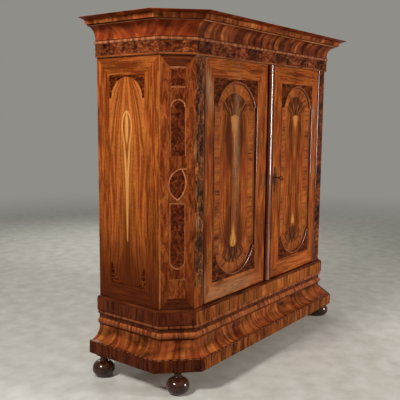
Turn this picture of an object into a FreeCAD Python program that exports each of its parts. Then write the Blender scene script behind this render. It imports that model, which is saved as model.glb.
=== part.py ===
import FreeCAD, Part
import math
import os

# Two-door walnut cabinet with canted front corners, millimetres.
# +X is the right hand side, -Y the front, +Z up; the origin lies on the floor under the plan's centre.
# Reaches and offsets of the mouldings are measured outwards from the faces of the carcass.

# Overall sizes
overall_height = 2000.0
carcass_width = 1742.0
carcass_depth = 587.0
cant_leg = 133.0
foot_height = 126.0
base_height = 323.0
cornice_height = 205.0
frieze_height = 71.0

# Turned feet
foot_ball_radius = 65.0
foot_ball_height = 88.0
foot_flat_radius = 30.0
foot_throat_radius = 19.0
foot_collar_radius = 25.0
foot_collar_height = 10.0
foot_shoulder_radius = 42.0
foot_tenon_radius = 15.0
foot_tenon_length = 40.0
foot_offset = 55.0
rear_foot_inset = 78.0

# Base moulding, from the floor band up to the cap
run_inset = 33.0
band_reach = 90.0
band_height = 70.0
band_chamfer = 4.0
flare_height = 62.0
neck_reach = 8.0
neck_height = 18.0
roll_height = 38.0
roll_swell = 12.0
groove_height = 22.0
astragal_height = 26.0
astragal_swell = 12.0
cap_reach = 24.0
cap_round = 14.0

# Frieze and crown moulding
frieze_reach = 12.0
frieze_bead_height = 10.0
frieze_bead_swell = 3.0
crown_inset = 15.0
crown_bead_height = 16.0
crown_bead_swell = 7.0
crown_fillet_height = 4.0
cavetto_reach = 58.0
quirk_width = 8.0
fine_bead_height = 8.0
fine_bead_swell = 4.0
corona_reach = 84.0
corona_height = 23.0
corona_lean = 6.0
tip_reach = 132.0
tip_height = 12.0
tip_edge_height = 2.0

# Carcass boards
side_thickness = 24.0
post_thickness = 30.0
stile_thickness = 30.0
stile_width = 81.0
stile_round = 8.0
back_thickness = 15.0
back_rebate = 12.0
back_board_count = 6
back_lap = 10.0
back_board_gap = 0.5
rail_thickness = 25.0
base_rail_lift = 40.0
floor_thickness = 22.0
ledger_size = 25.0
board_clearance = 0.5
shelf_thickness = 22.0
shelf_setback = 65.0
shelf_level_shares = (0.26, 0.52, 0.77)
bearer_thickness = 22.0
bearer_height = 35.0
top_board_thickness = 18.0

# Doors
door_recess = 3.0
door_thickness = 28.0
door_gap = 3.0
hinge_gap = 2.0
meeting_line_x = -18.0
meeting_gap = 3.0
hinge_stile_width = 82.0
meeting_stile_face = 110.0
rail_height = 103.0
panel_thickness = 22.0
field_sink = 12.0
tongue_thickness = 8.0
tongue_setback = 5.0
tongue_length = 10.0
groove_spare = 2.0
tenon_thickness = 9.0
tenon_setback = 10.0
tenon_length = 50.0
tenon_inset = 18.0

# Moulding round the sunk fields of the door panels
trim_width = 20.0
trim_lap = 6.0
trim_height = 6.0
trim_lip = 2.0
trim_bead_width = 10.0
trim_fillet_width = 2.0
trim_fillet_height = 2.0
arch_margin = 10.0
arch_rise = 140.0
arch_step = 24.0

# Meeting strip
strip_width = 64.0
strip_lip_height = 11.0
strip_height = 17.0
strip_roll_width = 30.0
strip_roll_setback = 19.0

# Pivots and their sockets
pivot_inset = 10.0
pivot_radius = 5.0
pivot_clearance = 0.08
pivot_length = 14.0
pivot_spare = 2.0
pivot_collar_radius = 8.0
thrust_gap = 0.3
pivot_plate_radius = 8.0
pivot_plate_length = 45.0
pivot_plate_thickness = 4.0
socket_length = 50.0
socket_lead = 20.0
socket_width = 20.0
socket_thickness = 5.0

# Lock, key and escutcheon
key_x = 91.0
key_z = 1100.0
key_shank_radius = 3.5
key_reach = 60.0
key_bow_radius = 12.0
key_bow_wire = 2.5
key_collar_radius = 6.0
key_collar_length = 5.0
key_bit_radius = 16.0
key_bit_length = 12.0
key_bit_thickness = 4.0
keyhole_clearance = 2.0
lock_setback = 3.0
lock_length = 156.0
lock_below = 26.0
lock_above = 44.0
lock_depth = 22.0
lock_wall = 2.5
lock_bolt_width = 14.0
lock_bolt_thickness = 8.0
lock_bolt_lift = 20.0
lock_bolt_setback = 6.0
lock_bolt_throw = 20.0
talon_depth = 9.0
talon_width = 30.0
talon_cheek = 14.0
slide_clearance = 0.2
keeper_length = 40.0
keeper_wall = 4.0
escutcheon_width = 32.0
escutcheon_height = 163.0
escutcheon_drop = 12.0
escutcheon_thickness = 1.6
escutcheon_waist_share = 0.16
escutcheon_lobe_share = 0.34
escutcheon_waist_height_share = 0.30
escutcheon_lobe_height_share = 0.42

# Bolts of the left door
bolt_width = 16.0
bolt_thickness = 8.0
bolt_length = 220.0
bolt_engagement = 15.0
bolt_slot_spare = 3.0
bolt_end_setback = 7.0
bolt_standoff = 4.0
bolt_knob_radius = 6.0
bolt_knob_length = 12.0
guide_wall = 6.0
guide_height = 16.0
guide_inset = 22.0

overrun = 5.0
round_share = math.sqrt(0.5)
mitre_share = math.tan(math.pi / 8)

# Levels and planes worked out from the sizes above
half_width = carcass_width / 2
front_y = (tip_reach - carcass_depth) / 2
back_y = front_y + carcass_depth
base_top = foot_height + base_height
frieze_bottom = overall_height - cornice_height
frieze_top = frieze_bottom + frieze_height
stile_edge_x = cant_leg - half_width + stile_width
hinge_edge_x = stile_edge_x + hinge_gap
door_front = front_y + door_recess
door_back = door_front + door_thickness
door_bottom = base_top + door_gap
door_top = frieze_bottom - door_gap
panel_bottom = door_bottom + rail_height
panel_top = door_top - rail_height
pivot_x = hinge_edge_x + pivot_inset
pivot_y = door_front + pivot_inset
left_meeting_x = meeting_line_x - meeting_gap / 2
right_meeting_x = meeting_line_x + meeting_gap / 2

origin = FreeCAD.Vector(0, 0, 0)
along_x = FreeCAD.Vector(1, 0, 0)
along_y = FreeCAD.Vector(0, 1, 0)
along_z = FreeCAD.Vector(0, 0, 1)
parts = {}


def box(x0, x1, y0, y1, z0, z1):
    return Part.makeBox(x1 - x0, y1 - y0, z1 - z0, FreeCAD.Vector(x0, y0, z0))


def mirrored(shape):
    return shape.mirror(origin, along_x)


def rounded(start, corner, end):
    # A quarter turn from start to end, drawn towards the corner between them
    centre = (start[0] + end[0] - corner[0], start[1] + end[1] - corner[1])
    through = tuple(c + (k - c) * round_share for c, k in zip(centre, corner))
    return (through, end)


def flat(outline, place):
    # A face from points and (through, end) arcs, each put in space by place
    edges = []
    start = outline[0]
    for step in outline[1:]:
        if isinstance(step[0], tuple):
            through, end = step
            edges.append(Part.Arc(place(start), place(through), place(end)).toShape())
        else:
            end = step
            edges.append(Part.LineSegment(place(start), place(end)).toShape())
        start = end
    if start != outline[0]:
        edges.append(Part.LineSegment(place(start), place(outline[0])).toShape())
    return Part.Face(Part.Wire(edges))


def prism(outline, z0, z1):
    # A plan outline carried upwards
    face = flat(outline, lambda p: FreeCAD.Vector(p[0], p[1], z0))
    return face.extrude(along_z * (z1 - z0))


def side_corner(offset):
    # Plan point where the left side meets the left cant
    return (-half_width - offset, front_y + cant_leg - mitre_share * offset)


def front_corner(offset):
    # Plan point where the left cant meets the front
    return (cant_leg - half_width - mitre_share * offset, front_y - offset)


def opposite(point):
    return (-point[0], point[1])


def wedge(edge, inner, outer, z0, z1):
    # The stretch of one side of the plan between two offsets, cut by its mitre planes
    if edge == "front":
        plan = [front_corner(inner), opposite(front_corner(inner)),
                opposite(front_corner(outer)), front_corner(outer)]
    elif edge == "cant":
        plan = [side_corner(inner), front_corner(inner), front_corner(outer), side_corner(outer)]
    else:
        plan = [(-half_width - inner, back_y), side_corner(inner),
                side_corner(outer), (-half_width - outer, back_y)]
    return prism(plan, z0, z1)


def run(edge, profile):
    # A moulding profile of (offset, height) carried along one side of the plan and mitred
    if edge == "front":
        start = FreeCAD.Vector(-half_width, front_y, 0)
        outward, along, length = -along_y, along_x, carcass_width
    elif edge == "cant":
        along = (along_x - along_y).normalize()
        outward = -(along_x + along_y).normalize()
        start = FreeCAD.Vector(*side_corner(0), 0) - along * tip_reach
        length = math.hypot(cant_leg, cant_leg) + tip_reach + tip_reach
    else:
        start = FreeCAD.Vector(-half_width, back_y, 0)
        outward, along, length = -along_x, -along_y, carcass_depth
    bar = flat(profile, lambda p: start + outward * p[0] + along_z * p[1]).extrude(along * length)
    ends = [step[1] if isinstance(step[0], tuple) else step for step in profile]
    offsets = [point[0] for point in ends]
    heights = [point[1] for point in ends]
    bounds = wedge(edge, min(offsets) - overrun, tip_reach + overrun,
                   min(heights) - overrun, max(heights) + overrun)
    return bar.common(bounds)


def moulding(name, profile):
    # Five mitred runs: front, two cants and two sides
    parts[name + "_front"] = run("front", profile)
    for edge in ("cant", "side"):
        left = run(edge, profile)
        parts[f"{name}_{edge}_left"] = left
        parts[f"{name}_{edge}_right"] = mirrored(left)


def bead(reach, swell, z0, z1):
    # A rounded bead standing out of a face, as an arc step of a profile
    return ((reach + swell, (z0 + z1) / 2), (reach, z1))


# Base: floor band, hollow flare, two beads and the cap
band_top = foot_height + band_height
flare_bottom = band_top + band_chamfer
flare_top = flare_bottom + flare_height
roll_bottom = flare_top + neck_height
roll_top = roll_bottom + roll_height
astragal_bottom = roll_top + groove_height
astragal_top = astragal_bottom + astragal_height
flare_reach = band_reach - band_chamfer
base_profile = [
    (-run_inset, foot_height),
    (band_reach, foot_height),
    (band_reach, band_top),
    (flare_reach, flare_bottom),
    rounded((flare_reach, flare_bottom), (neck_reach, flare_bottom), (neck_reach, flare_top)),
    (neck_reach, roll_bottom),
    bead(neck_reach, roll_swell, roll_bottom, roll_top),
    (neck_reach, astragal_bottom),
    bead(neck_reach, astragal_swell, astragal_bottom, astragal_top),
    (cap_reach, astragal_top),
    (cap_reach, base_top - cap_round),
    rounded((cap_reach, base_top - cap_round), (cap_reach, base_top), (cap_reach - cap_round, base_top)),
    (-run_inset, base_top),
]
moulding("base", base_profile)

# Frieze: a flat board with a fine bead along its foot
frieze_bead_top = frieze_bottom + frieze_bead_height
moulding("frieze", [
    (-run_inset, frieze_bottom),
    (frieze_reach, frieze_bottom),
    bead(frieze_reach, frieze_bead_swell, frieze_bottom, frieze_bead_top),
    (frieze_reach, frieze_top),
    (-run_inset, frieze_top),
])

# Crown: bead, cavetto, fine bead, corona and the thin sloping tip
crown_bead_top = frieze_top + crown_bead_height
cavetto_bottom = crown_bead_top + crown_fillet_height
tip_bottom = overall_height - tip_height
corona_bottom = tip_bottom - corona_height
cavetto_top = corona_bottom - fine_bead_height
fine_bead_reach = cavetto_reach + quirk_width
moulding("crown", [
    (-crown_inset, frieze_top),
    (frieze_reach, frieze_top),
    bead(frieze_reach, crown_bead_swell, frieze_top, crown_bead_top),
    (frieze_reach, cavetto_bottom),
    rounded((frieze_reach, cavetto_bottom), (frieze_reach, cavetto_top), (cavetto_reach, cavetto_top)),
    (fine_bead_reach, cavetto_top),
    bead(fine_bead_reach, fine_bead_swell, cavetto_top, corona_bottom),
    (corona_reach, corona_bottom),
    (corona_reach + corona_lean, tip_bottom),
    (tip_reach, overall_height - tip_edge_height),
    (tip_reach, overall_height),
    (-crown_inset, overall_height),
])

# Turned feet, tenoned into the base
collar_top = foot_ball_height + foot_collar_height
foot_outline = [
    (0.0, 0.0),
    (foot_flat_radius, 0.0),
    ((foot_ball_radius, foot_ball_height / 2), (foot_throat_radius, foot_ball_height)),
    ((foot_collar_radius, foot_ball_height + foot_collar_height / 2), (foot_throat_radius, collar_top)),
    rounded((foot_throat_radius, collar_top), (foot_throat_radius, foot_height),
            (foot_shoulder_radius, foot_height)),
    (foot_tenon_radius, foot_height),
    (foot_tenon_radius, foot_height + foot_tenon_length),
    (0.0, foot_height + foot_tenon_length),
]
foot = flat(foot_outline, lambda p: FreeCAD.Vector(p[0], 0, p[1])).revolve(origin, along_z, 360)
cant_side = side_corner(foot_offset)
cant_front = front_corner(foot_offset)
foot_places = {
    "front": ("cant", (cant_side[0] + cant_front[0]) / 2, (cant_side[1] + cant_front[1]) / 2),
    "rear": ("side", -half_width - foot_offset, back_y - rear_foot_inset),
}
for place, (edge, x, y) in foot_places.items():
    left_foot = foot.copy()
    left_foot.translate(FreeCAD.Vector(x, y, 0))
    parts[f"foot_{place}_left"] = left_foot
    parts[f"foot_{place}_right"] = mirrored(left_foot)
    for hand in ("left", "right"):
        carrier = f"base_{edge}_{hand}"
        parts[carrier] = parts[carrier].cut(parts[f"foot_{place}_{hand}"])

# Base rear rail, ledgers and floor board
run_inner_x = half_width - run_inset
rail_front = back_y - rail_thickness
parts["base_rear_rail"] = box(-run_inner_x, run_inner_x, rail_front, back_y,
                              foot_height + base_rail_lift, base_top)
floor_bottom = base_top - floor_thickness
ledger_bottom = floor_bottom - ledger_size
ledger_front_x = -front_corner(-run_inset)[0]
run_inner_y = front_y + run_inset
ledger_side_y = side_corner(-run_inset)[1]
side_ledger = box(-run_inner_x, ledger_size - run_inner_x, ledger_side_y, rail_front,
                  ledger_bottom, floor_bottom)
parts["floor_ledgers"] = Part.makeCompound([
    box(-ledger_front_x, ledger_front_x, run_inner_y, run_inner_y + ledger_size, ledger_bottom, floor_bottom),
    side_ledger,
    mirrored(side_ledger),
    box(ledger_size - run_inner_x, run_inner_x - ledger_size, rail_front - ledger_size, rail_front,
        ledger_bottom, floor_bottom),
])


def board(inset, rear_y, z0, z1):
    # A board that fills the plan inside the mitred runs
    left = [(inset - half_width, rear_y), side_corner(-inset), front_corner(-inset)]
    return prism(left + [opposite(point) for point in reversed(left)], z0, z1)


floor_inset = run_inset + board_clearance
bolt_x = left_meeting_x - meeting_stile_face / 2
bolt_y = door_back + bolt_standoff
bolt_slot_half = bolt_width / 2 + slide_clearance
bolt_slot = box(bolt_x - bolt_slot_half, bolt_x + bolt_slot_half, front_y,
                bolt_y + bolt_thickness + slide_clearance,
                base_top - bolt_engagement - bolt_slot_spare, base_top + overrun)
parts["floor_board"] = board(floor_inset, rail_front - board_clearance, floor_bottom, base_top).cut(bolt_slot)

# Side panels rebated for the back, corner posts and front stiles
back_front = back_y - back_thickness
panel_inner_x = side_thickness - half_width
rebate_x = back_rebate - half_width
side_panel = prism([
    (-half_width, back_y),
    side_corner(0),
    side_corner(-side_thickness),
    (panel_inner_x, back_front),
    (rebate_x, back_front),
    (rebate_x, back_y),
], base_top, frieze_bottom)
corner_post = wedge("cant", -post_thickness, 0, base_top, frieze_bottom)
stile_round_x = stile_edge_x - stile_round
front_stile = prism([
    front_corner(0),
    (stile_round_x, front_y),
    rounded((stile_round_x, front_y), (stile_edge_x, front_y), (stile_edge_x, front_y + stile_round)),
    (stile_edge_x, front_y + stile_thickness),
    front_corner(-stile_thickness),
], base_top, frieze_bottom)
for name, shape in (("side_panel", side_panel), ("corner_post", corner_post), ("front_stile", front_stile)):
    parts[name + "_left"] = shape
    parts[name + "_right"] = mirrored(shape)

# Back boards with lapped edges
back_pitch = -(rebate_x + rebate_x) / back_board_count
back_middle = back_front + back_thickness / 2
back_boards = []
for index in range(back_board_count):
    left_x = rebate_x + index * back_pitch
    right_x = left_x + back_pitch - back_board_gap
    last = index == back_board_count - 1
    rear_right = -rebate_x if last else right_x
    front_left = left_x + back_lap if index else left_x
    front_right = -rebate_x if last else right_x + back_lap
    plan = [
        (front_left, back_front),
        (front_right, back_front),
        (front_right, back_middle),
        (rear_right, back_middle),
        (rear_right, back_y),
        (left_x, back_y),
        (left_x, back_middle),
        (front_left, back_middle),
    ]
    corners = [point for point, before in zip(plan, plan[-1:] + plan[:-1]) if point != before]
    back_boards.append(prism(corners, base_top, frieze_bottom))
parts["back_boards"] = Part.makeCompound(back_boards)

# Shelves on side and rear bearers
shelf_front = front_y + shelf_setback
shelf_side_x = panel_inner_x + board_clearance
post_inner = side_corner(-post_thickness - board_clearance)
cant_line = post_inner[0] + post_inner[1]
shelf_left = [
    (shelf_side_x, back_front - board_clearance),
    (shelf_side_x, cant_line - shelf_side_x),
    (cant_line - shelf_front, shelf_front),
]
shelf_plan = shelf_left + [opposite(point) for point in reversed(shelf_left)]
bearer_front = cant_line - panel_inner_x
bearers = []
for name, share in zip(("lower", "middle", "upper"), shelf_level_shares):
    level = base_top + (frieze_bottom - base_top) * share
    parts["shelf_" + name] = prism(shelf_plan, level, level + shelf_thickness)
    side_bearer = box(panel_inner_x, panel_inner_x + bearer_thickness, bearer_front, back_front,
                      level - bearer_height, level)
    bearers += [side_bearer, mirrored(side_bearer)]
    bearers.append(box(panel_inner_x + bearer_thickness, -panel_inner_x - bearer_thickness,
                       back_front - bearer_thickness, back_front, level - bearer_height, level))
parts["shelf_bearers"] = Part.makeCompound(bearers)

# Cornice rear rail and top board
parts["cornice_rear_rail"] = box(-run_inner_x, run_inner_x, rail_front, back_y, frieze_bottom, frieze_top)
parts["top_board"] = board(crown_inset + board_clearance, back_y, frieze_top,
                           frieze_top + top_board_thickness)


def rod(radius, length, x, y, z, direction):
    return Part.makeCylinder(radius, length, FreeCAD.Vector(x, y, z), direction)


# Pivot sockets let into base and frieze, left pair first
socket_x = pivot_x - socket_lead
socket_y = pivot_y - socket_width / 2
bore_radius = pivot_radius + pivot_clearance
bore_depth = pivot_length + pivot_spare
bore_from = base_top - bore_depth
sockets = []
for plate_z, bore_z, carrier in ((base_top - socket_thickness, bore_from, "base_front"),
                                 (frieze_bottom, frieze_bottom, "frieze_front")):
    plate = box(socket_x, socket_x + socket_length, socket_y, socket_y + socket_width,
                plate_z, plate_z + socket_thickness)
    bore = rod(bore_radius, bore_depth, pivot_x, pivot_y, bore_z, along_z)
    plate = plate.cut(bore)
    pocket = plate.fuse(bore)
    parts[carrier] = parts[carrier].cut(pocket).cut(mirrored(pocket))
    sockets += [plate, mirrored(plate)]
parts["pivot_sockets"] = Part.makeCompound(sockets)


def pivot_plate(z0):
    # Iron strap let into the end of a hinge stile, round about the axis
    near_y = pivot_y - pivot_plate_radius
    far_y = pivot_y + pivot_plate_radius
    end_x = pivot_x + pivot_plate_length
    return prism([
        (pivot_x, near_y),
        (end_x, near_y),
        (end_x, far_y),
        (pivot_x, far_y),
        ((pivot_x - pivot_plate_radius, pivot_y), (pivot_x, near_y)),
    ], z0, z0 + pivot_plate_thickness)


def trim_face(place):
    # Section of the moulding: bead lapping the edge of the sunk field, hollow down to a fillet
    hollow_end = (trim_width - trim_fillet_width, trim_fillet_height - field_sink)
    return flat([
        (0.0, 0.0),
        (0.0, trim_lip),
        ((trim_bead_width / 2, trim_height), (trim_bead_width, trim_lip)),
        (trim_bead_width, 0.0),
        rounded((trim_bead_width, 0.0), (trim_bead_width, hollow_end[1]), hollow_end),
        (trim_width, hollow_end[1]),
        (trim_width, -field_sink),
        (trim_lap, -field_sink),
        (trim_lap, 0.0),
    ], place)


def panel_trim(x0, x1):
    # Two straight bars and two arches stepped in from them, and the hollow that they line
    centre_x = (x0 + x1) / 2
    field_y = door_front + field_sink
    spring_low = panel_bottom + arch_margin + arch_rise
    spring_high = panel_top - arch_margin - arch_rise
    bar = trim_face(lambda p: FreeCAD.Vector(x0 + p[0], door_front - p[1], spring_low))
    bar = bar.extrude(along_z * (spring_high - spring_low))
    other = bar.mirror(FreeCAD.Vector(centre_x, 0, 0), along_x)
    half_span = (x1 - x0) / 2 - arch_step
    radius = (half_span ** 2 + arch_rise ** 2) / (arch_rise + arch_rise)
    centre_z = panel_top - arch_margin - radius
    ring = trim_face(lambda p: FreeCAD.Vector(centre_x + radius - p[0], door_front - p[1], centre_z))
    ring = ring.revolve(FreeCAD.Vector(centre_x, 0, centre_z), along_y, 360)
    window = box(x0 - overrun, x1 + overrun, front_y - trim_height - overrun, door_back,
                 spring_high, panel_top + overrun)
    middle = FreeCAD.Vector(0, 0, (panel_top + panel_bottom) / 2)
    upper = ring.common(window)
    lower = upper.mirror(middle, along_z)
    arch = rod(radius - trim_lap, field_sink, centre_x, door_front, centre_z, along_y).common(window)
    sunk = box(x0 + trim_lap, x1 - trim_lap, door_front, field_y, spring_low, spring_high)
    sunk = sunk.fuse(arch).fuse(arch.mirror(middle, along_z))
    return Part.makeCompound([bar, other, upper, lower]), sunk


def door(hand, meeting_x, meeting_stile_width, finish):
    # One framed and panelled leaf, drawn hinged on the left; finish turns it to its own hand
    panel_left = hinge_edge_x + hinge_stile_width
    panel_right = meeting_x - meeting_stile_width
    tongue_y = door_front + tongue_setback
    tenon_y = door_front + tenon_setback
    groove_reach = tongue_length + groove_spare
    hinge_stile = prism([
        (panel_left, door_front),
        (panel_left, door_back),
        (hinge_edge_x, door_back),
        (hinge_edge_x, pivot_y),
        rounded((hinge_edge_x, pivot_y), (hinge_edge_x, door_front), (pivot_x, door_front)),
    ], door_bottom, door_top)
    meeting_stile = box(panel_right, meeting_x, door_front, door_back, door_bottom, door_top)
    panel_groove = box(panel_left - groove_reach, panel_right + groove_reach, tongue_y,
                       tongue_y + tongue_thickness, panel_bottom - groove_reach, panel_top + groove_reach)
    rails = {}
    for name, z0, z1 in (("bottom", door_bottom, panel_bottom), ("top", panel_top, door_top)):
        body = box(panel_left, panel_right, door_front, door_back, z0, z1)
        tenon = box(panel_left - tenon_length, panel_right + tenon_length, tenon_y,
                    tenon_y + tenon_thickness, z0 + tenon_inset, z1 - tenon_inset)
        rails[name] = body.cut(panel_groove).fuse(tenon).removeSplitter()
        hinge_stile = hinge_stile.cut(tenon)
        meeting_stile = meeting_stile.cut(tenon)
    panel = box(panel_left, panel_right, door_front, door_front + panel_thickness, panel_bottom, panel_top)
    tongue = box(panel_left - tongue_length, panel_right + tongue_length, tongue_y,
                 tongue_y + tongue_thickness, panel_bottom - tongue_length, panel_top + tongue_length)
    trim, sunk = panel_trim(panel_left, panel_right)
    low_plate = pivot_plate(door_bottom)
    high_plate = pivot_plate(door_top - pivot_plate_thickness)
    collar_z = base_top + thrust_gap
    collar = rod(pivot_collar_radius, door_bottom - collar_z, pivot_x, pivot_y, collar_z, along_z)
    low_pin = rod(pivot_radius, pivot_length + door_gap, pivot_x, pivot_y, base_top - pivot_length, along_z)
    high_pin = rod(pivot_radius, pivot_length + door_gap, pivot_x, pivot_y, door_top, along_z)
    pieces = {
        "hinge_stile": hinge_stile.cut(panel_groove).cut(low_plate).cut(high_plate),
        "meeting_stile": meeting_stile.cut(panel_groove),
        "bottom_rail": rails["bottom"],
        "top_rail": rails["top"],
        "panel": panel.fuse(tongue).cut(sunk).removeSplitter(),
        "moulding": trim,
        "pivots": Part.makeCompound([low_plate.fuse(collar).fuse(low_pin).removeSplitter(),
                                     high_plate.fuse(high_pin).removeSplitter()]),
    }
    for name, shape in pieces.items():
        parts[f"{hand}_door_{name}"] = finish(shape)


door("left", left_meeting_x, meeting_stile_face, lambda shape: shape)
door("right", -right_meeting_x, meeting_stile_face + strip_width, mirrored)

# Meeting strip on the edge of the right door: flat lip with a half round on it
roll_left = right_meeting_x + strip_roll_setback
roll_right = roll_left + strip_roll_width
strip_right = right_meeting_x + strip_width
strip = flat([
    (right_meeting_x, 0.0),
    (strip_right, 0.0),
    (strip_right, strip_lip_height),
    (roll_right, strip_lip_height),
    (((roll_left + roll_right) / 2, strip_height), (roll_left, strip_lip_height)),
    (right_meeting_x, strip_lip_height),
], lambda p: FreeCAD.Vector(p[0], door_front - p[1], door_bottom))
parts["meeting_strip"] = strip.extrude(along_z * (door_top - door_bottom))

# Keyhole through escutcheon, meeting stile and lock
lock_back = door_back + lock_depth
hole_radius = key_shank_radius + keyhole_clearance
slot_half = key_bit_thickness / 2 + keyhole_clearance
keyhole_front = door_front - escutcheon_thickness - overrun
keyhole = rod(hole_radius, door_back + overrun - keyhole_front, key_x, keyhole_front, key_z, along_y)
keyhole = keyhole.fuse(box(key_x - slot_half, key_x + slot_half, keyhole_front, door_back + overrun,
                           key_z - key_bit_radius - keyhole_clearance, key_z))
parts["right_door_meeting_stile"] = parts["right_door_meeting_stile"].cut(keyhole)

escutcheon_z = key_z - escutcheon_drop


def escutcheon_point(across_share, up_share):
    return (key_x + escutcheon_width * across_share, escutcheon_z + escutcheon_height * up_share)


waist = escutcheon_waist_share
lobe = escutcheon_lobe_share
waist_up = escutcheon_waist_height_share
lobe_up = escutcheon_lobe_height_share
escutcheon = flat([
    escutcheon_point(0, -0.5),
    (escutcheon_point(lobe, -lobe_up), escutcheon_point(waist, -waist_up)),
    (escutcheon_point(0.5, 0), escutcheon_point(waist, waist_up)),
    (escutcheon_point(lobe, lobe_up), escutcheon_point(0, 0.5)),
    (escutcheon_point(-lobe, lobe_up), escutcheon_point(-waist, waist_up)),
    (escutcheon_point(-0.5, 0), escutcheon_point(-waist, -waist_up)),
    (escutcheon_point(-lobe, -lobe_up), escutcheon_point(0, -0.5)),
], lambda p: FreeCAD.Vector(p[0], door_front, p[1]))
parts["right_escutcheon"] = escutcheon.extrude(-along_y * escutcheon_thickness).cut(keyhole)

# Rim lock: case, sliding bolt with a notch for the bit, and keeper on the left door
lock_left = right_meeting_x + lock_setback
lock_right = lock_left + lock_length
lock_low = key_z - lock_below
lock_high = key_z + lock_above
case = box(lock_left, lock_right, door_back, lock_back, lock_low, lock_high)
cavity = box(lock_left + lock_wall, lock_right - lock_wall, door_back, lock_back - lock_wall,
             lock_low + lock_wall, lock_high - lock_wall)
bolt_low = key_z + lock_bolt_lift
bolt_high = bolt_low + lock_bolt_width
lock_bolt_y = door_back + lock_bolt_setback
lock_bolt_back = lock_bolt_y + lock_bolt_thickness
bolt_mouth = box(lock_left - overrun, lock_left + lock_wall + overrun, lock_bolt_y - slide_clearance,
                 lock_bolt_back + slide_clearance, bolt_low - slide_clearance, bolt_high + slide_clearance)
pin_hole = rod(key_shank_radius + pivot_clearance, lock_depth, key_x, door_back, key_z, along_y)
parts["lock_case"] = case.cut(cavity).cut(bolt_mouth).cut(pin_hole)
talon_left = key_x + lock_bolt_throw / 2 - talon_width / 2
talon_right = talon_left + talon_width
tail = box(talon_left - talon_cheek, talon_right + talon_cheek, lock_bolt_y, lock_bolt_back,
           bolt_low - talon_depth, bolt_low)
notch = box(talon_left, talon_right, lock_bolt_y, lock_bolt_back, bolt_low - talon_depth, bolt_low)
shaft = box(lock_left, talon_right + talon_cheek, lock_bolt_y, lock_bolt_back, bolt_low, bolt_high)
parts["lock_bolt"] = shaft.fuse(tail.cut(notch)).removeSplitter()
keeper_right = left_meeting_x - lock_setback
keeper_left = keeper_right - keeper_length
keeper = box(keeper_left, keeper_right, door_back, lock_bolt_back + slide_clearance + keeper_wall,
             bolt_low - slide_clearance - keeper_wall, bolt_high + slide_clearance + keeper_wall)
keeper_mouth = box(keeper_left + keeper_wall, keeper_right + overrun, lock_bolt_y - slide_clearance,
                   lock_bolt_back + slide_clearance, bolt_low - slide_clearance, bolt_high + slide_clearance)
parts["lock_keeper"] = keeper.cut(keeper_mouth)

# Key in the lock, bow outside
bow_y = door_front - key_reach + key_bow_radius
shank = rod(key_shank_radius, lock_back - bow_y - key_bow_radius + key_bow_wire, key_x,
            bow_y + key_bow_radius - key_bow_wire, key_z, along_y)
bow = Part.makeTorus(key_bow_radius - key_bow_wire, key_bow_wire,
                     FreeCAD.Vector(key_x, bow_y, key_z), along_x)
collar = rod(key_collar_radius, key_collar_length, key_x, bow_y + key_bow_radius, key_z, along_y)
bit_front = door_back + lock_bolt_setback
bit = box(key_x - key_bit_thickness / 2, key_x + key_bit_thickness / 2, bit_front, bit_front + key_bit_length,
          key_z - key_bit_radius, key_z)
parts["key"] = shank.fuse(bow).fuse(collar).fuse(bit).removeSplitter()


def door_bolt(end_z, tail_z, knob_z):
    # Flat sliding bolt on the inside of the left door
    bar = box(bolt_x - bolt_width / 2, bolt_x + bolt_width / 2, bolt_y, bolt_y + bolt_thickness,
              min(end_z, tail_z), max(end_z, tail_z))
    knob = rod(bolt_knob_radius, bolt_knob_length, bolt_x, bolt_y + bolt_thickness, knob_z, along_y)
    return bar.fuse(knob).removeSplitter()


def guide(z):
    # Staple block that a bolt slides through
    half = bolt_slot_half + guide_wall
    block = box(bolt_x - half, bolt_x + half, door_back, bolt_y + bolt_thickness + guide_wall,
                z - guide_height / 2, z + guide_height / 2)
    way = box(bolt_x - bolt_slot_half, bolt_x + bolt_slot_half, bolt_y - slide_clearance,
              bolt_y + bolt_thickness + slide_clearance, z - guide_height, z + guide_height)
    return block.cut(way)


top_end = door_top - bolt_end_setback
bottom_end = door_bottom + bolt_end_setback
top_tail = top_end - bolt_length
bottom_tail = bottom_end + bolt_length
parts["top_bolt"] = door_bolt(top_end, top_tail, top_tail + bolt_length / 2)
parts["bottom_bolt"] = door_bolt(bottom_end, bottom_tail, bottom_tail - bolt_length / 2)
guide_places = (top_end - guide_inset, top_tail + guide_inset,
                bottom_end + guide_inset, bottom_tail - guide_inset)
parts["bolt_guides"] = Part.makeCompound([guide(z) for z in guide_places])

os.makedirs("parts", exist_ok=True)
for name, shape in parts.items():
    shape.exportStep(f"parts/{name}.step")
    print(name, len(shape.Solids), round(shape.Volume))
print(len(parts), "pieces")
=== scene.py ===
from functools import partial
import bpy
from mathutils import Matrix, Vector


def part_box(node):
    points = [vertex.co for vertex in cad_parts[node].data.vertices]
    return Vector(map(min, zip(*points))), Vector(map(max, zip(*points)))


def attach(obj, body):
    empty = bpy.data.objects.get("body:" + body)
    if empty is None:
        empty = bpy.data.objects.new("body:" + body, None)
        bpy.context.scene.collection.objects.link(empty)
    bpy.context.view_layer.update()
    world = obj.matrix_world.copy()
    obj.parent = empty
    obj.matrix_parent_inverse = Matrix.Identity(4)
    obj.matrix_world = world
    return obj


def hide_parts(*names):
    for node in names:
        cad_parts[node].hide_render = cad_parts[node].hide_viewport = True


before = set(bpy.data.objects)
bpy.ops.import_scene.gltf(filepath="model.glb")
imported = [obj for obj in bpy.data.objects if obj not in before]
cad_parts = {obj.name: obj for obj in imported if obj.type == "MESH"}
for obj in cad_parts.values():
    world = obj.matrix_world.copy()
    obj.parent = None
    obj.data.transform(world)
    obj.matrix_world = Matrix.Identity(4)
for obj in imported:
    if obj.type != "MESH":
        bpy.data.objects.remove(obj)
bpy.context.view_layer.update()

from types import SimpleNamespace
import bpy
import numpy as np
from mathutils import Matrix

rng = np.random.default_rng(1731)
print("frame in place:", len(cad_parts), "nodes")


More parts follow.
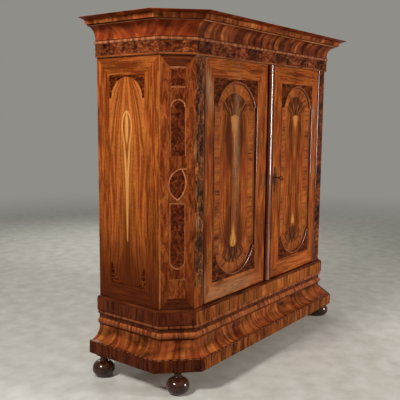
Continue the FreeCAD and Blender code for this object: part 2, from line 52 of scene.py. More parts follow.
def span(node):
    # lowest and highest corner of a CAD piece, in mm
    low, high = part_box(node)
    return np.array(low) * 1000, np.array(high) * 1000


sideLow, sideHigh = span("side_panel_left")
stileLow, stileHigh = span("front_stile_left")
hingeLow, hingeHigh = span("left_door_hinge_stile")
backLow, backHigh = span("back_boards")
half = -sideLow[0]  # half the width of the carcass
backY, frontY = backHigh[1], stileLow[1]
cant = stileLow[0] + half  # leg of the cut-off corner
baseTop, friezeFoot = sideLow[2], sideHigh[2]
doorFront, doorLow, doorHigh = hingeLow[1], hingeLow[2], hingeHigh[2]
fieldY = span("left_door_moulding")[1][1]  # floor of the sunk fields
panelLow, panelHigh = span("left_door_bottom_rail")[1][2], span("left_door_top_rail")[0][2]
lean = np.tan(np.pi / 8)  # a mitre's shift per mm of offset


# Materials

def linear(text):
    # sRGB hex to linear light
    s = np.array([int(text[i:i + 2], 16) for i in (1, 3, 5)]) / 255
    return (*np.where(s <= 0.04045, s / 12.92, ((s + 0.055) / 1.055) ** 2.4).tolist(), 1.0)


def newTree(holder):
    # adder of nodes to the emptied tree of a material or world
    holder.use_nodes = True
    holder.node_tree.nodes.clear()
    return partial(addNode, holder.node_tree)


def addNode(tree, kind, inputs=(), out=0, stops=None, **settings):
    # one node with its settings, constants, links and colour stops; gives one of its outputs
    kind, *operation = kind.split()
    node = tree.nodes.new("ShaderNode" + kind)
    if operation:
        node.operation = operation[0]
    for key, value in settings.items():
        setattr(node, key, value)
    for socket, value in inputs.items() if isinstance(inputs, dict) else enumerate(inputs):
        if isinstance(value, bpy.types.NodeSocket):
            tree.links.new(value, node.inputs[socket])
        else:
            node.inputs[socket].default_value = value
    if stops:
        stops = spread(stops) if isinstance(stops, str) else stops
        elements = node.color_ramp.elements
        elements.remove(elements[1])
        elements[0].position = stops[0][0]
        for at, colour in stops[1:]:
            elements.new(at)
        for element, (at, colour) in zip(elements, stops):
            element.color = linear(colour)
    return node.outputs[out] if node.outputs else node


# what a wood has unless its own look says otherwise; sizes are mm across and along the grain
woodLook = dict(
    swirl=0.4, rough=0.5, rings=9.0, ringGain=0.10, fibre=(1.4, 70), fibreGain=0.35, pore=(0.7, 11),
    poreEnds=(0.30, 0.42), pores=0.35, cloud=(130, 260), cloudGain=0.18, curl=(24, 15), curlGain=0.6,
    drift=(70, 160), hues=(0.493, 0.503), toneGain=0.22, marks=(), bump=0.12, ripple=(55, 110),
    rippleGain=0.25, gloss=0.34, glossEnds=(-0.06, 0.08), specular=0.025, coat=0.05, coatGloss=0.12,
    coatIor=1.5, turn=None, boards=None, boardTones=(1.6, -0.8), eyes=None)
noiseEnds = (0.3, 0.7)  # most of a noise lies between these
ringTurn = 6.283  # a full turn of the sine
layerStep = 9.0  # move through the noise for one unit of tone
grooveDepth, rippleDepth = 0.0004, 0.004
eyeRings = [(0.05, "#2A2A2A"), (0.16, "#E8E8E8"), (0.30, "#8A8A8A"), (0.42, "#FFFFFF"), (0.62, "#9A9A9A")]


def makeWood(name, base, **own):
    # figure as contour lines of a stretched noise, fibres and pores on it, then marks laid in by attributes
    look = SimpleNamespace(**{**woodLook, **base, **own})
    material = bpy.data.materials.new(name)
    add = newTree(material)
    onObject = look.turn is not None
    tone = add("Attribute", out="Fac", attribute_name="tone")
    if onObject:
        place = add("TexCoord", out="Object")
        if look.boards:
            # each board of a row takes its own tone and its own part of the noise
            start, pitch = look.boards
            count = add("SeparateXYZ", (place,))
            count = add("Math MULTIPLY_ADD", (count, 1 / pitch, -start / pitch))
            count = add("Math FLOOR", (count,))
            chance = add("TexWhiteNoise", {"W": count}, noise_dimensions="1D")
            tone = add("Math MULTIPLY_ADD", (chance, *look.boardTones))
            shift = add("CombineXYZ", {"Y": count, "Z": chance})
            place = add("VectorMath ADD", (place, shift))
        place = add("Mapping", {"Vector": place, "Rotation": np.radians(look.turn)})
    else:
        # leaves of another tone lie in another layer of the noise, and may slant
        grainUv = add("UVMap", uv_map="grain")
        across, along = add("SeparateXYZ", (grainUv,)).node.outputs[:2]
        slope = add("Attribute", out="Fac", attribute_name="slope")
        across = add("Math MULTIPLY_ADD", (slope, along, across))
        layer = add("Math MULTIPLY", (tone, layerStep))
        place = add("CombineXYZ", (across, along, layer))

    def grain(size, detail=2.0, swirl=0.0, rough=0.5):
        # noise of a size in mm across and along the grain
        scale = (1000 / size[0], 1000 / size[1], 1000 / size[0] if onObject else 1.0)
        scaled = add("Mapping", {"Vector": place, "Scale": scale})
        return add("TexNoise", {"Vector": scaled, "Scale": 1.0, "Detail": detail, "Roughness": rough,
                                "Distortion": swirl})

    figure = grain(look.figure, 3.0, look.swirl, look.rough)
    rings = add("Math MULTIPLY", (figure, look.rings * ringTurn))
    rings = add("Math SINE", (rings,))
    fibre = grain(look.fibre)
    level = add("Math MULTIPLY_ADD", (rings, look.ringGain, figure))
    level = add("Math MULTIPLY_ADD", (fibre, look.fibreGain, level))
    level = add("Math SUBTRACT", (level, look.fibreGain / 2))
    colour = add("ValToRGB", (level,), stops=look.stops)
    if look.eyes:
        # rings round the middles of wobbled cells
        scale = (1000 / look.eyes, 1000 / look.eyes, 1.0)
        scaled = add("Mapping", {"Vector": place, "Scale": scale})
        wobble = add("TexNoise", {"Vector": scaled, "Scale": 0.7, "Detail": 3.0}, "Color")
        moved = add("VectorMath ADD", (scaled, wobble))
        cells = add("TexVoronoi", {"Vector": moved, "Scale": 1.0})
        ringed = add("ValToRGB", (cells,), stops=eyeRings)
        colour = add("Mix", {0: look.eyeGain, 6: colour, 7: ringed}, 2, data_type="RGBA",
                     blend_type="MULTIPLY")
    # each range: value, ends it comes from, ends it goes to
    pores = add("MapRange", (grain(look.pore, 1.0), *look.poreEnds, 1.0, 0.0))
    dark = add("Math MULTIPLY", (pores, look.pores))
    colour = add("Mix", {0: dark, 6: colour, 7: linear(look.poreColour)}, 2, data_type="RGBA")
    cloud = grain(look.cloud)
    shade = add("MapRange", (cloud, *noiseEnds, 1 - look.cloudGain, 1 + look.cloudGain))
    curl = add("Math ADD", (grain(look.curl, 2.0, 0.5), -0.5))
    shade = add("Math MULTIPLY_ADD", (curl, look.curlGain, shade))
    # painted shading of a moulding's section, lighter or darker with the light, added to the leaf's tone
    grade = add("Attribute", out="Fac", attribute_name="grade")
    tone = add("Math ADD", (tone, grade))
    shade = add("Math MULTIPLY_ADD", (tone, look.toneGain, shade))
    hue = add("MapRange", (grain(look.drift, 2.0, 0.6), *noiseEnds, *look.hues))
    colour = add("HueSaturation", {"Hue": hue, "Value": shade, "Color": colour})
    for mark in look.marks:
        reach, soft = mark.reach, mark.soft
        edge = add("Attribute", out="Fac", attribute_name=mark.name)
        edge = add("Math MULTIPLY_ADD", (grain(mark.ragged), reach * 2, edge))
        mask = add("MapRange", (edge, reach - soft, reach + soft, 0.0, mark.strength),
                   interpolation_type="SMOOTHSTEP")
        streak = grain(mark.streak, 3.0, mark.swirl)
        tint = add("ValToRGB", (streak,), stops=mark.stops)
        colour = add("Mix", {0: mask, 6: colour, 7: tint}, 2, data_type="RGBA")
    height = add("Math MULTIPLY_ADD", (pores, -0.6, fibre))
    fine = add("Bump", {"Height": height, "Strength": look.bump, "Distance": grooveDepth})
    ripple = grain(look.ripple, 1.0)
    surface = add("Bump", {"Height": ripple, "Strength": look.rippleGain, "Distance": rippleDepth,
                           "Normal": fine})
    sheen = add("MapRange", (cloud, *noiseEnds, *(look.gloss + end for end in look.glossEnds)))
    shader = add("BsdfPrincipled", {
        "Base Color": colour, "Roughness": sheen, "Normal": surface, "Specular IOR Level": look.specular,
        "Coat Weight": look.coat, "Coat Roughness": look.coatGloss, "Coat IOR": look.coatIor})
    add("OutputMaterial", (shader,))
    return material


def spread(colours, low=0.30, high=0.70, at=None):
    # colour stops at given places, or evenly over the part of the noise that is used
    colours = colours.split()
    return list(zip(at or np.linspace(low, high, len(colours)).tolist(), colours))


def makeMark(name, ragged, reach, soft, strength, streak, colours, swirl=0.0, **ends):
    # edge torn by a noise to a reach in mm and faded over soft mm, streaks in the mark's own colours
    return SimpleNamespace(name=name, ragged=ragged, reach=reach, soft=soft, strength=strength,
                           streak=streak, swirl=swirl, stops=spread(colours, **ends))


tight = {"low": 0.36, "high": 0.64}
# pale sapwood loops on the sides, softer tongues on the doors, a bright small tongue low on each door
sideSap = makeMark("tongue", (6, 140), 2.5, 3, 0.82, (4, 160), "#A4622A #CC8C48 #E2AC66")
doorSap = makeMark("tongue", (6, 130), 22, 15, 0.85, (5, 210), "#8A4A1C #BC7838 #E0A868", **tight)
emberMark = makeMark("ember", (6, 50), 14, 11, 0.85, (5, 70), "#93521F #B97A38 #DCA65C", **tight)
# dark crotch figure at the ends of the door fields, heartwood streaks beside the tongues
fanMark = makeMark("fan", (26, 40), 30, 34, 0.88, (20, 55), "#200B03 #381607 #5A2C12 #804A22",
                   swirl=0.5, low=0.36, high=0.68)
flankMark = makeMark("flank", (8, 230), 52, 36, 0.9, (5, 260), "#2A0E03 #451905 #6A310E", **tight)
# pale patches of bleached, rubbed polish, partly a painted sheen where a lamp's reflection is painted in;
# painted shade darkening towards the foot, and dark stains; arris rubbed to paler wood, with a painted
# highlight where it catches the light
wornAndSheenMark = makeMark("worn", (7, 60), 9, 11, 0.58, (5, 60), "#744A2A #946A48 #B08E6A")
shadeAndStainMark = makeMark("deep", (40, 160), 120, 220, 0.84, (7, 200), "#341006 #4A1A07 #62280C")
rubAndHighlightMark = makeMark("rub", (3, 90), 3, 3, 0.75, (4, 60), "#8E4C20 #B06C38 #CC8C50")

# warm red-brown veneer with long lines and clouds, the eye's first impression of the cabinet
warm = (0.28, 0.43, 0.57, 0.74)
figured = dict(
    figure=(17, 240), swirl=1.2, rings=4.0, ringGain=0.05, fibreGain=0.25, cloud=(75, 260), cloudGain=0.26,
    poreColour="#2A0F05", stops=spread("#52210A #783811 #8C4718 #A8602A", at=warm))
figuredWalnut = makeWood("figured walnut veneer", figured, marks=[shadeAndStainMark, wornAndSheenMark, rubAndHighlightMark])
# curly leaves on the cut corners, with soft pointed loops
curlyWalnut = makeWood(
    "curly walnut veneer", figured, figure=(26, 120), swirl=1.4, rings=6.0, ringGain=0.06, curlGain=0.45,
    cloud=(50, 90), cloudGain=0.24, marks=[shadeAndStainMark, rubAndHighlightMark],
    stops=spread("#4A1B0B #743514 #8C461C #AA602F", at=warm))
# book-matched fields: the same veneer with pale sapwood and dark crotch figure
sideField = makeWood(
    "side flame veneer", figured, figure=(21, 520), cloudGain=0.2, marks=[shadeAndStainMark, flankMark, sideSap],
    stops=spread("#662D0E #884416 #9C5420 #B26C32", at=warm))
doorField = makeWood("door flame veneer", figured, figure=(10, 300),
                     marks=[flankMark, fanMark, doorSap, emberMark, wornAndSheenMark])
# short-grain leaves across mouldings, lighter and darker by turns
cross = dict(
    figure=(15, 170), swirl=0.5, rings=2.5, ringGain=0.04, fibre=(1.2, 40), fibreGain=0.17, cloud=(60, 200),
    poreColour="#2A0F05", toneGain=0.24, stops="#471B08 #6C3210 #874818 #AA682E")
crossWalnut = makeWood("crossbanded walnut", cross)
# quieter leaves round the door fields
borderWalnut = makeWood(
    "border crossbanding", cross, figure=(20, 220), cloud=(50, 90), cloudGain=0.26,
    stops="#5A2A10 #783C17 #8A4A1E #9E5C2A")
# broad smooth leaves on the hollow of the base
flareWalnut = makeWood(
    "hollow walnut leaves", cross, figure=(26, 300), rough=0.4, ringGain=0.015, fibreGain=0.12,
    cloud=(110, 50), cloudGain=0.55, stops="#5E280E #763817 #8A481E #A4602E")
# redder leaves up in the cove of the cornice, smooth at the sides and stripier in front
coveWalnut = makeWood(
    "red cove walnut", cross, figure=(30, 240), rough=0.42, ringGain=0.015, fibreGain=0.13,
    cloud=(80, 50), cloudGain=0.42, stops="#5C220E #722E12 #843A17 #9C4E22")
coveFront = makeWood(
    "striped cove walnut", cross, figure=(44, 260), rough=0.46, ringGain=0.02, fibreGain=0.14,
    cloud=(90, 60), cloudGain=0.5, stops="#300F06 #50200D #6C3216 #A05C2C")
# dark leaves on the shaded base and cant runs
deepWalnut = makeWood("dark crossbanded walnut", cross, specular=0.03, coat=0.04, cloudGain=0.3,
                      stops="#290F06 #40190A #4E220E #602D13")
# dark clouded burl with eyes in the small panels of the corners
burl = dict(swirl=1.2, rings=2.0, ringGain=0.04, rough=0.66, eyes=12, poreColour="#140603")
burlWalnut = makeWood(
    "walnut burl", burl, figure=(24, 32), rough=0.58, eyes=16, eyeGain=0.3, curlGain=0.4, cloud=(45, 55),
    cloudGain=0.28, stops="#34110A #50200D #642C12 #80401E")
# plain dark leaves in the corners round the arches
spandrelWalnut = makeWood(
    "dark spandrel walnut", burl, figure=(34, 16), eyeGain=0.1, cloud=(60, 40), cloudGain=0.5,
    specular=0.02, coat=0.03, stops="#1E0A02 #3A1705 #552409 #7C3D12")
# grey-brown burl of the narrow stiles, dull and cool beside the red veneers, with warmer leaves between
stile = dict(burl, figure=(17, 44), eyes=17, toneGain=0.35, cloud=(40, 80), cloudGain=0.4, marks=[wornAndSheenMark])
stileBurl = makeWood("grey walnut burl", stile, eyeGain=0.15,
                     stops="#200C05 #4A2410 #6A3A1B #986238")
stileBrown = makeWood("brown stile burl", stile, eyeGain=0.1,
                      stops="#38180A #5E3014 #7C441E #A0662F")
# burl blocks of the frieze, orange and near-black by turns
friezeBurl = makeWood(
    "blotched frieze burl", burl, figure=(30, 17), swirl=0.7, rough=0.58, eyes=15, eyeGain=0.14,
    toneGain=0.45, cloud=(50, 60), cloudGain=0.4, stops="#30110A #52230F #683216 #864A26")
# sapwood lines let in round the panels, warmed by the polish
line = dict(figured, figure=(5, 60))
stringing = makeWood("sapwood stringing", line, poreColour="#6A3A1C", toneGain=0.35,
                     stops="#8C4E2A #A8663E #C08054")
# broken line of light and dark blocks on the edge of the base
dashLine = makeWood("dashed stringing", line, toneGain=0.42, stops="#4E2614 #6A3A22 #845033")
# plain dark arrises and the thin cornice edge, painted dark as the shade in the fillets and quirks between
# moulding members
edgeWalnut = makeWood("dark polished walnut", figured, stops="#240C05 #401A0A #562811")
# polished beads: plain, in light and dark blocks, shining with long white highlights, and dark
beads = dict(cross, rough=0.4, fibreGain=0.1, gloss=0.20, coat=0.3, specular=0.05, rippleGain=0.1,
             stops="#4A1E0B #6E3415 #85451E #A05E2E")
shine = dict(coat=1.0, coatIor=1.6, coatGloss=0.15, bump=0.0)
beadWalnut = makeWood("polished bead walnut", beads)
blockBead = makeWood("bead of light and dark blocks", beads, coat=0.1, specular=0.03, toneGain=0.3,
                     stops="#743E20 #905432 #A86C46")
glossBead = makeWood("high polished bead", beads, specular=0.15, rippleGain=0.0, **shine)
browWalnut = makeWood("polished dark arris", beads, coat=0.06, specular=0.03,
                      stops="#2E1108 #4C220D #643218")
# turned feet, dark and mirror-bright
footWood = makeWood("stained turned wood", figured, figure=(30, 60), gloss=0.14, coat=0.9, rippleGain=0.05,
                    stops="#27120A #3E1F12 #562E1D")
# bare walnut seen on door edges and thick parts behind the veneer
upGrain, longGrain = (-90, 0, 0), (0, 0, 90)
bare = dict(figured, figure=(30, 400), stops="#3E1B0C #673416 #8A5026")
walnutUp = makeWood("walnut edge, upright grain", bare, turn=upGrain)
walnutBright = makeWood("polished walnut arris, upright grain", bare, turn=upGrain, **shine)
walnutLong = makeWood("walnut edge, long grain", bare, turn=longGrain)
# aged softwood inside and behind, dull and yellow-brown
pine = dict(
    figure=(48, 1500), rings=11.0, ringGain=0.16, fibre=(2.0, 500), fibreGain=0.2, poreColour="#7A5430",
    pores=0.1, gloss=0.62, coat=0.0, specular=0.2, cloud=(200, 600), cloudGain=0.14, curlGain=0.05,
    stops="#966A3E #B48A56 #CCA672")
backBoards = 6
boardPitch = (backHigh[0] - backLow[0]) * 0.001 / backBoards
pineUp = makeWood("aged pine, upright grain", pine, turn=upGrain, boards=(backLow[0] * 0.001, boardPitch))
pineLong = makeWood("aged pine, long grain", pine, turn=longGrain)
pineRun = makeWood("aged pine, under mouldings", pine)

# hammered iron, nearly black with brown bloom and soft glints
forgedIron = bpy.data.materials.new("forged iron")
add = newTree(forgedIron)
spot = add("TexCoord", out="Object")
mottle = add("TexNoise", {"Vector": spot, "Scale": 160.0, "Detail": 4.0})
skin = add("ValToRGB", (mottle,), stops="#0C0805 #16100B #281B14")
dents = add("Bump", {"Height": mottle, "Strength": 0.3, "Distance": 0.0008})
dull = add("MapRange", {"Value": mottle, "To Min": 0.32, "To Max": 0.58})
metal = add("BsdfPrincipled", {"Base Color": skin, "Metallic": 0.3, "Roughness": dull, "Normal": dents,
                               "Specular IOR Level": 0.2})
add("OutputMaterial", (metal,))
print("materials made")


# Surfaces

def gridQuads(rows, columns, wrap=False):
    # corners of each cell of a grid, the last column joined to the first where it wraps
    i, j = np.meshgrid(np.arange(rows - 1), np.arange(columns if wrap else columns - 1), indexing="ij")
    near, far, k = i * columns, (i + 1) * columns, (j + 1) % columns
    return np.stack([near + j, far + j, far + k, near + k], -1).reshape(-1, 4)


def travel(points):
    # length run from the first point to each
    return np.concatenate([[0], np.cumsum(np.linalg.norm(np.diff(points, axis=0), axis=1))])


def arcThrough(start, through, end, steps):
    # points on the circle through three points, from the first to the last by way of the second
    (ax, az), (bx, bz), (cx, cz) = start, through, end
    d = 2 * (ax * (bz - cz) + bx * (cz - az) + cx * (az - bz))
    a, b, c = ax * ax + az * az, bx * bx + bz * bz, cx * cx + cz * cz
    centre = np.array([a * (bz - cz) + b * (cz - az) + c * (az - bz),
                       a * (cx - bx) + b * (ax - cx) + c * (bx - ax)]) / d
    out = np.array([start, through, end]) - centre
    turn = np.unwrap(np.arctan2(out[:, 1], out[:, 0]))
    t = np.linspace(turn[0], turn[2], steps + 1)
    return centre + np.hypot(*out[0]) * np.stack([np.cos(t), np.sin(t)], -1)


def rounded(start, corner, end):
    # point half way round a quarter turn drawn towards its corner
    middle = np.array(start) + np.array(end) - np.array(corner)
    return tuple(middle + (np.array(corner) - middle) * np.sqrt(0.5))


def trace(outline, steps):
    # closed profile as points and the zone of the span after each; an arc names a point on its way
    points, zones = [np.array([outline[0]], float)], []
    for zone, *target in outline[1:]:
        start = points[-1][-1]
        added = arcThrough(start, *target, steps)[1:] if len(target) > 1 else np.array(target, float)
        points.append(added)
        zones += [zone] * len(added)
    return np.concatenate(points)[:-1], zones


def tube(rings, along, zones=0, crossed=False, **looks):
    # closed section carried along a path: rings[i, j] is point j of the section at step i; ends are capped
    n, m = rings.shape[:2]
    zones = np.broadcast_to(zones, m)
    around = travel(np.concatenate([rings[0], rings[0][:1]]))
    u = np.stack([along[:-1], along[1:], along[1:], along[:-1]], -1)[:, None] + np.zeros((1, m, 1))
    v = np.stack([around[:-1], around[:-1], around[1:], around[1:]], -1)[None] + np.zeros((n - 1, 1, 1))
    swap = ~np.broadcast_to(crossed, m)[None, :, None]
    uv = np.stack([np.where(swap, v, u), np.where(swap, u, v)], -1).reshape(-1, 2)
    caps = [list(range(m)), list(range(n * m - 1, (n - 1) * m - 1, -1))]
    ends = rings[[0, -1]] - rings[0, 0]
    capUv = np.stack([np.hypot(ends[..., 0], ends[..., 1]), ends[..., 2]], -1)
    part = {"points": rings.reshape(-1, 3), "faces": gridQuads(n, m, True).tolist() + caps,
            "uv": np.concatenate([uv, capUv[0], capUv[1][::-1]]),
            "zone": np.concatenate([np.tile(zones, n - 1), zones[[-1, -1]]]), "marks": {}}
    for key in ("tone", "slope", "grade"):
        part[key] = np.append((np.zeros((n - 1, m)) + looks.get(key, 0.0)).ravel(), [0, 0])
    return part


def makePlane(x, y, right):
    # upright plane with a point, its direction to the right as seen from outside, and its outward normal
    right = np.array([*right, 0.0]) / np.hypot(*right)
    return {"origin": np.array([x, y, 0.0]), "right": right, "out": np.cross(right, [0, 0, 1])}


leafThick = 0.9


def sheet(plane, left, right, columns, zone, lift=0.6, grainAngle=0.0, fold=None, flow=None, banded=False,
          tones=0.0, marks=None):
    # leaf of veneer, P(s, t) = (1 - s) left(t) + s right(t) between two edges, closed at back and rim
    left, right = np.asarray(left, float), np.asarray(right, float)
    s = np.linspace(0, 1, columns + 1)[:, None, None]
    az = (1 - s) * left[None] + s * right[None]
    n, m = az.shape[:2]
    front = plane["origin"] + az[..., :1] * plane["right"] + az[..., 1:] * np.array([0, 0, 1.0])
    front = (front + lift * plane["out"]).reshape(-1, 3)
    quads = gridQuads(n, m)
    grid = np.arange(n * m).reshape(n, m)
    rim = np.concatenate([grid[:-1, 0], grid[-1, :-1], grid[:0:-1, -1], grid[0, :0:-1]])
    after = np.roll(rim, -1)
    walls = np.stack([after, rim, rim + n * m, after + n * m], -1)
    faces = np.concatenate([quads, quads[:, ::-1] + n * m, walls])
    if banded:
        width = np.linalg.norm(right - left, axis=1).mean()
        uv = np.stack(np.broadcast_arrays(travel((left + right) / 2), s[:, :, 0] * width), -1)
    else:
        a = az[..., 0] if fold is None else np.abs(az[..., 0] - fold)
        if flow is not None:
            a = a * np.interp(az[..., 1], *flow)  # grain drawn in where the factor is large
        c, d = np.cos(np.radians(grainAngle)), np.sin(np.radians(grainAngle))
        uv = np.stack([a * c + az[..., 1] * d, az[..., 1] * c - a * d], -1)
    uv = np.concatenate([uv.reshape(-1, 2)] * 2)
    tone = np.tile(np.broadcast_to(tones, m - 1), 2 * (n - 1))
    return {"points": np.concatenate([front, front - leafThick * plane["out"]]), "faces": faces.tolist(),
            "uv": uv[faces].reshape(-1, 2), "zone": np.full(len(faces), zone),
            "tone": np.concatenate([tone, np.zeros(len(walls))]),
            "slope": np.zeros(len(faces)), "grade": np.zeros(len(faces)),
            "marks": {key: np.tile(inside(az[..., 0], az[..., 1]).ravel(), 2)
                      for key, inside in (marks or {}).items()}}


def upright(plane, left, right, z, columns, zone, **more):
    # leaf between two edges that are known at each height
    edges = (np.stack([np.broadcast_to(edge, z.shape), z], -1) for edge in (left, right))
    return sheet(plane, *edges, columns, zone, **more)


def ribbon(plane, path, width, zone, **more):
    # narrow strip of one width centred on a path
    way = np.gradient(path, axis=0)
    side = np.stack([way[:, 1], -way[:, 0]], -1) / np.linalg.norm(way, axis=1)[:, None] * width / 2
    return sheet(plane, path - side, path + side, 1, zone, **more)


def mirrored(part):
    # the same part on the other side of the middle plane, faces turned round to stay outward
    loops = np.concatenate([[0], np.cumsum([len(face) for face in part["faces"]])])
    order = np.concatenate([np.arange(end - 1, start - 1, -1) for start, end in zip(loops[:-1], loops[1:])])
    return {**part, "points": part["points"] * [-1, 1, 1], "faces": [face[::-1] for face in part["faces"]],
            "uv": part["uv"][order]}


markNames = ("tongue", "ember", "fan", "flank", "worn", "rub", "deep")
unmarked = -900.0  # mm outside any mark


def addPiece(name, parts, woods, body="carcass", sharp=32, stands=()):
    # parts joined into one object, with grain coordinates, looks of each face and marks of each point
    def joined(key):
        return np.concatenate([part[key] for part in parts])

    starts = np.concatenate([[0], np.cumsum([len(part["points"]) for part in parts])])
    faces = [[int(k + start) for k in face] for part, start in zip(parts, starts) for face in part["faces"]]
    mesh = bpy.data.meshes.new(name)
    mesh.from_pydata(joined("points") * 0.001, [], faces)
    mesh.uv_layers.new(name="grain").data.foreach_set("uv", joined("uv").ravel() * 0.001)
    for wood in woods:
        mesh.materials.append(wood)
    mesh.polygons.foreach_set("material_index", joined("zone").astype(np.int32))
    for key in ("tone", "slope", "grade"):
        mesh.attributes.new(key, "FLOAT", "FACE").data.foreach_set("value", joined(key))
    for key in markNames:
        values = [part["marks"].get(key, np.full(len(part["points"]), unmarked)) for part in parts]
        mesh.attributes.new(key, "FLOAT", "POINT").data.foreach_set("value", np.concatenate(values))
    mesh.shade_smooth()
    mesh.set_sharp_from_angle(angle=np.radians(sharp))
    piece = bpy.data.objects.new(name, mesh)
    bpy.context.scene.collection.objects.link(piece)
    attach(piece, body)
    if stands:
        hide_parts(*stands)


def addPair(name, parts, woods, rightWoods=None):
    # the left piece and its mirror image
    addPiece(name + "_left", parts, woods)
    addPiece(name + "_right", [mirrored(part) for part in parts], rightWoods or woods)


def leafEdges(length, width, jitter):
    # joints between leaves of about one width, as shares of the length
    steps = 1 + jitter * (rng.random(max(1, round(length / width))) - 0.5)
    return np.concatenate([[0], np.cumsum(steps) / steps.sum()])


# Mouldings: mitred runs round the plan, between corners that move out along the mitre lines

corners = np.array([[(-half, backY), (-1, 0)], [(-half, frontY + cant), (-1, -lean)],
                    [(cant - half, frontY), (-lean, -1)]])  # place, and its move per mm of offset
corners = np.concatenate([corners, corners[::-1] * [-1, 1]])
runNames = ("side_left", "cant_left", "front", "cant_right", "side_right")
runLook = dict(leaf=5000, jitter=0.7, spread=0.7, alternate=0.0, slope=0.0, grade=(0, 0), across=True,
               frontTone=0.0, sideTone=0.0)
calmed = 0.4  # share of the random tone that alternating leaves keep


def addRuns(kind, outline, zoneLooks):
    # P(s, j) = (1 - s) A(offset j) + s B(offset j), A and B on the mitre lines at the run's ends
    profile, zones = trace(outline, 14)
    looks = {zone: {**runLook, **zoneLooks[zone]} for zone in dict.fromkeys(zones)}
    index = np.array([list(looks).index(zone) for zone in zones])
    grades = np.zeros(len(zones))  # painted shading: lighter or darker up the section, as light falls on the profile
    for k, look in enumerate(looks.values()):
        grades[index == k] = np.linspace(*look["grade"], np.sum(index == k))
    for run, *ends in zip(runNames, corners, corners[1:]):
        front = run == "front"
        a, b = (place + profile[:, :1] * move for place, move in ends)
        length = np.linalg.norm(b - a, axis=1).mean()
        edges = [leafEdges(length, look["leaf"], look["jitter"]) for look in looks.values()]
        steps = np.unique(np.concatenate([np.round(edge, 6) for edge in edges]))
        middle = (steps[:-1] + steps[1:]) / 2
        tones, slopes = [], []
        for edge, look in zip(edges, looks.values()):
            leaf = np.searchsorted(edge, middle) - 1
            sign = np.where(np.arange(len(edge) - 1) % 2, 1, -1)
            swing = rng.uniform(-1, 1, len(sign)) * look["spread"]
            if look["alternate"]:
                swing = swing * calmed + sign * look["alternate"]
            tones.append(swing[leaf] + look["frontTone" if front else "sideTone"])
            slopes.append((sign * look["frontSlope" if front and "frontSlope" in look else "slope"])[leaf])
        s = steps[:, None, None]
        plan = (1 - s) * a[None] + s * b[None]
        rings = np.concatenate([plan, np.broadcast_to(profile[:, 1:], plan.shape[:2] + (1,))], -1)
        part = tube(rings, steps * length, index, [looks[zone]["across"] for zone in zones],
                    tone=np.stack(tones, 1)[:, index], slope=np.stack(slopes, 1)[:, index], grade=grades)
        woods = [look["front" if front and "front" in look else "wood"] for look in looks.values()]
        addPiece(kind + "_run_" + run, [part], woods, sharp=30, stands=[kind + "_" + run])


# outlines are offsets and heights in mm, anticlockwise from the foot at the back
hidden = dict(wood=pineRun, across=False)
# fillets and quirks in dark walnut: painted shade between moulding members
plain = dict(wood=edgeWalnut, across=False)
lip = baseTop - 0.3  # kept just under the iron sockets let into it
hollow = arcThrough((86, 200), (30.85, 218.16), (8, 262), 16)  # its first span is a dark line of painted shade
baseOutline = [
    (-33, 126), ("hidden", (88, 126)), ("edge", (90, 128)), ("band", (90, 194)), ("edge", (89, 196.3)),
    ("dash", (86, 200)), ("edge", tuple(hollow[1])), ("flare", tuple(hollow[8]), (8, 262)),
    ("flare", (8, 276)), ("edge", (8, 280)), ("roll", (20, 299), (8, 318)), ("edge", (8, 321)),
    ("groove", (8, 336)), ("edge", (8, 340)), ("bead", (20, 353), (8, 366)), ("edge", (23, 366)),
    ("edge", (24, 367)), ("cap", (24, 435)), ("brow", rounded((24, 435), (24, lip), (10, lip)), (10, lip)),
    ("edge", (-33, lip)), ("hidden", (-33, 126))]
baseZones = {
    "hidden": hidden, "edge": plain,
    "brow": dict(wood=browWalnut, across=False, leaf=400, spread=0.2, frontTone=0.8),
    "band": dict(wood=deepWalnut, front=crossWalnut, leaf=42, alternate=0.6, frontTone=-1.2),
    "dash": dict(wood=dashLine, leaf=16, jitter=0.5, alternate=1.3, spread=0.8),
    # painted shading: the hollow darkens under the roll; roll and bead are dark below and lit on top
    "flare": dict(wood=flareWalnut, leaf=165, slope=0.16, grade=(1.0, -1.7), frontTone=0.6),
    "roll": dict(wood=beadWalnut, leaf=150, spread=0.2, frontTone=0.3, grade=(-2.6, 2.6)),
    # the groove in dark walnut: painted shade between roll and bead
    "groove": dict(wood=browWalnut, leaf=90, spread=0.9),
    "bead": dict(wood=beadWalnut, leaf=110, spread=0.3, sideTone=-0.8, grade=(-1.9, 2.2)),
    "cap": dict(wood=deepWalnut, front=crossWalnut, leaf=60, spread=1.4, frontTone=0.2, sideTone=0.6)}
addRuns("base", baseOutline, baseZones)

friezeOutline = [
    (-33, 1795.3), ("hidden", (12, 1795.3)), ("line", (15, 1800), (12, 1805)), ("face", (12, 1866)),
    ("hidden", (-33, 1866)), ("hidden", (-33, 1795.3))]
friezeZones = {
    "hidden": hidden, "line": dict(wood=beadWalnut, leaf=200, across=False, spread=0.3),
    "face": dict(wood=friezeBurl, leaf=130, spread=1.3, alternate=0.5, sideTone=0.1)}
addRuns("frieze", friezeOutline, friezeZones)

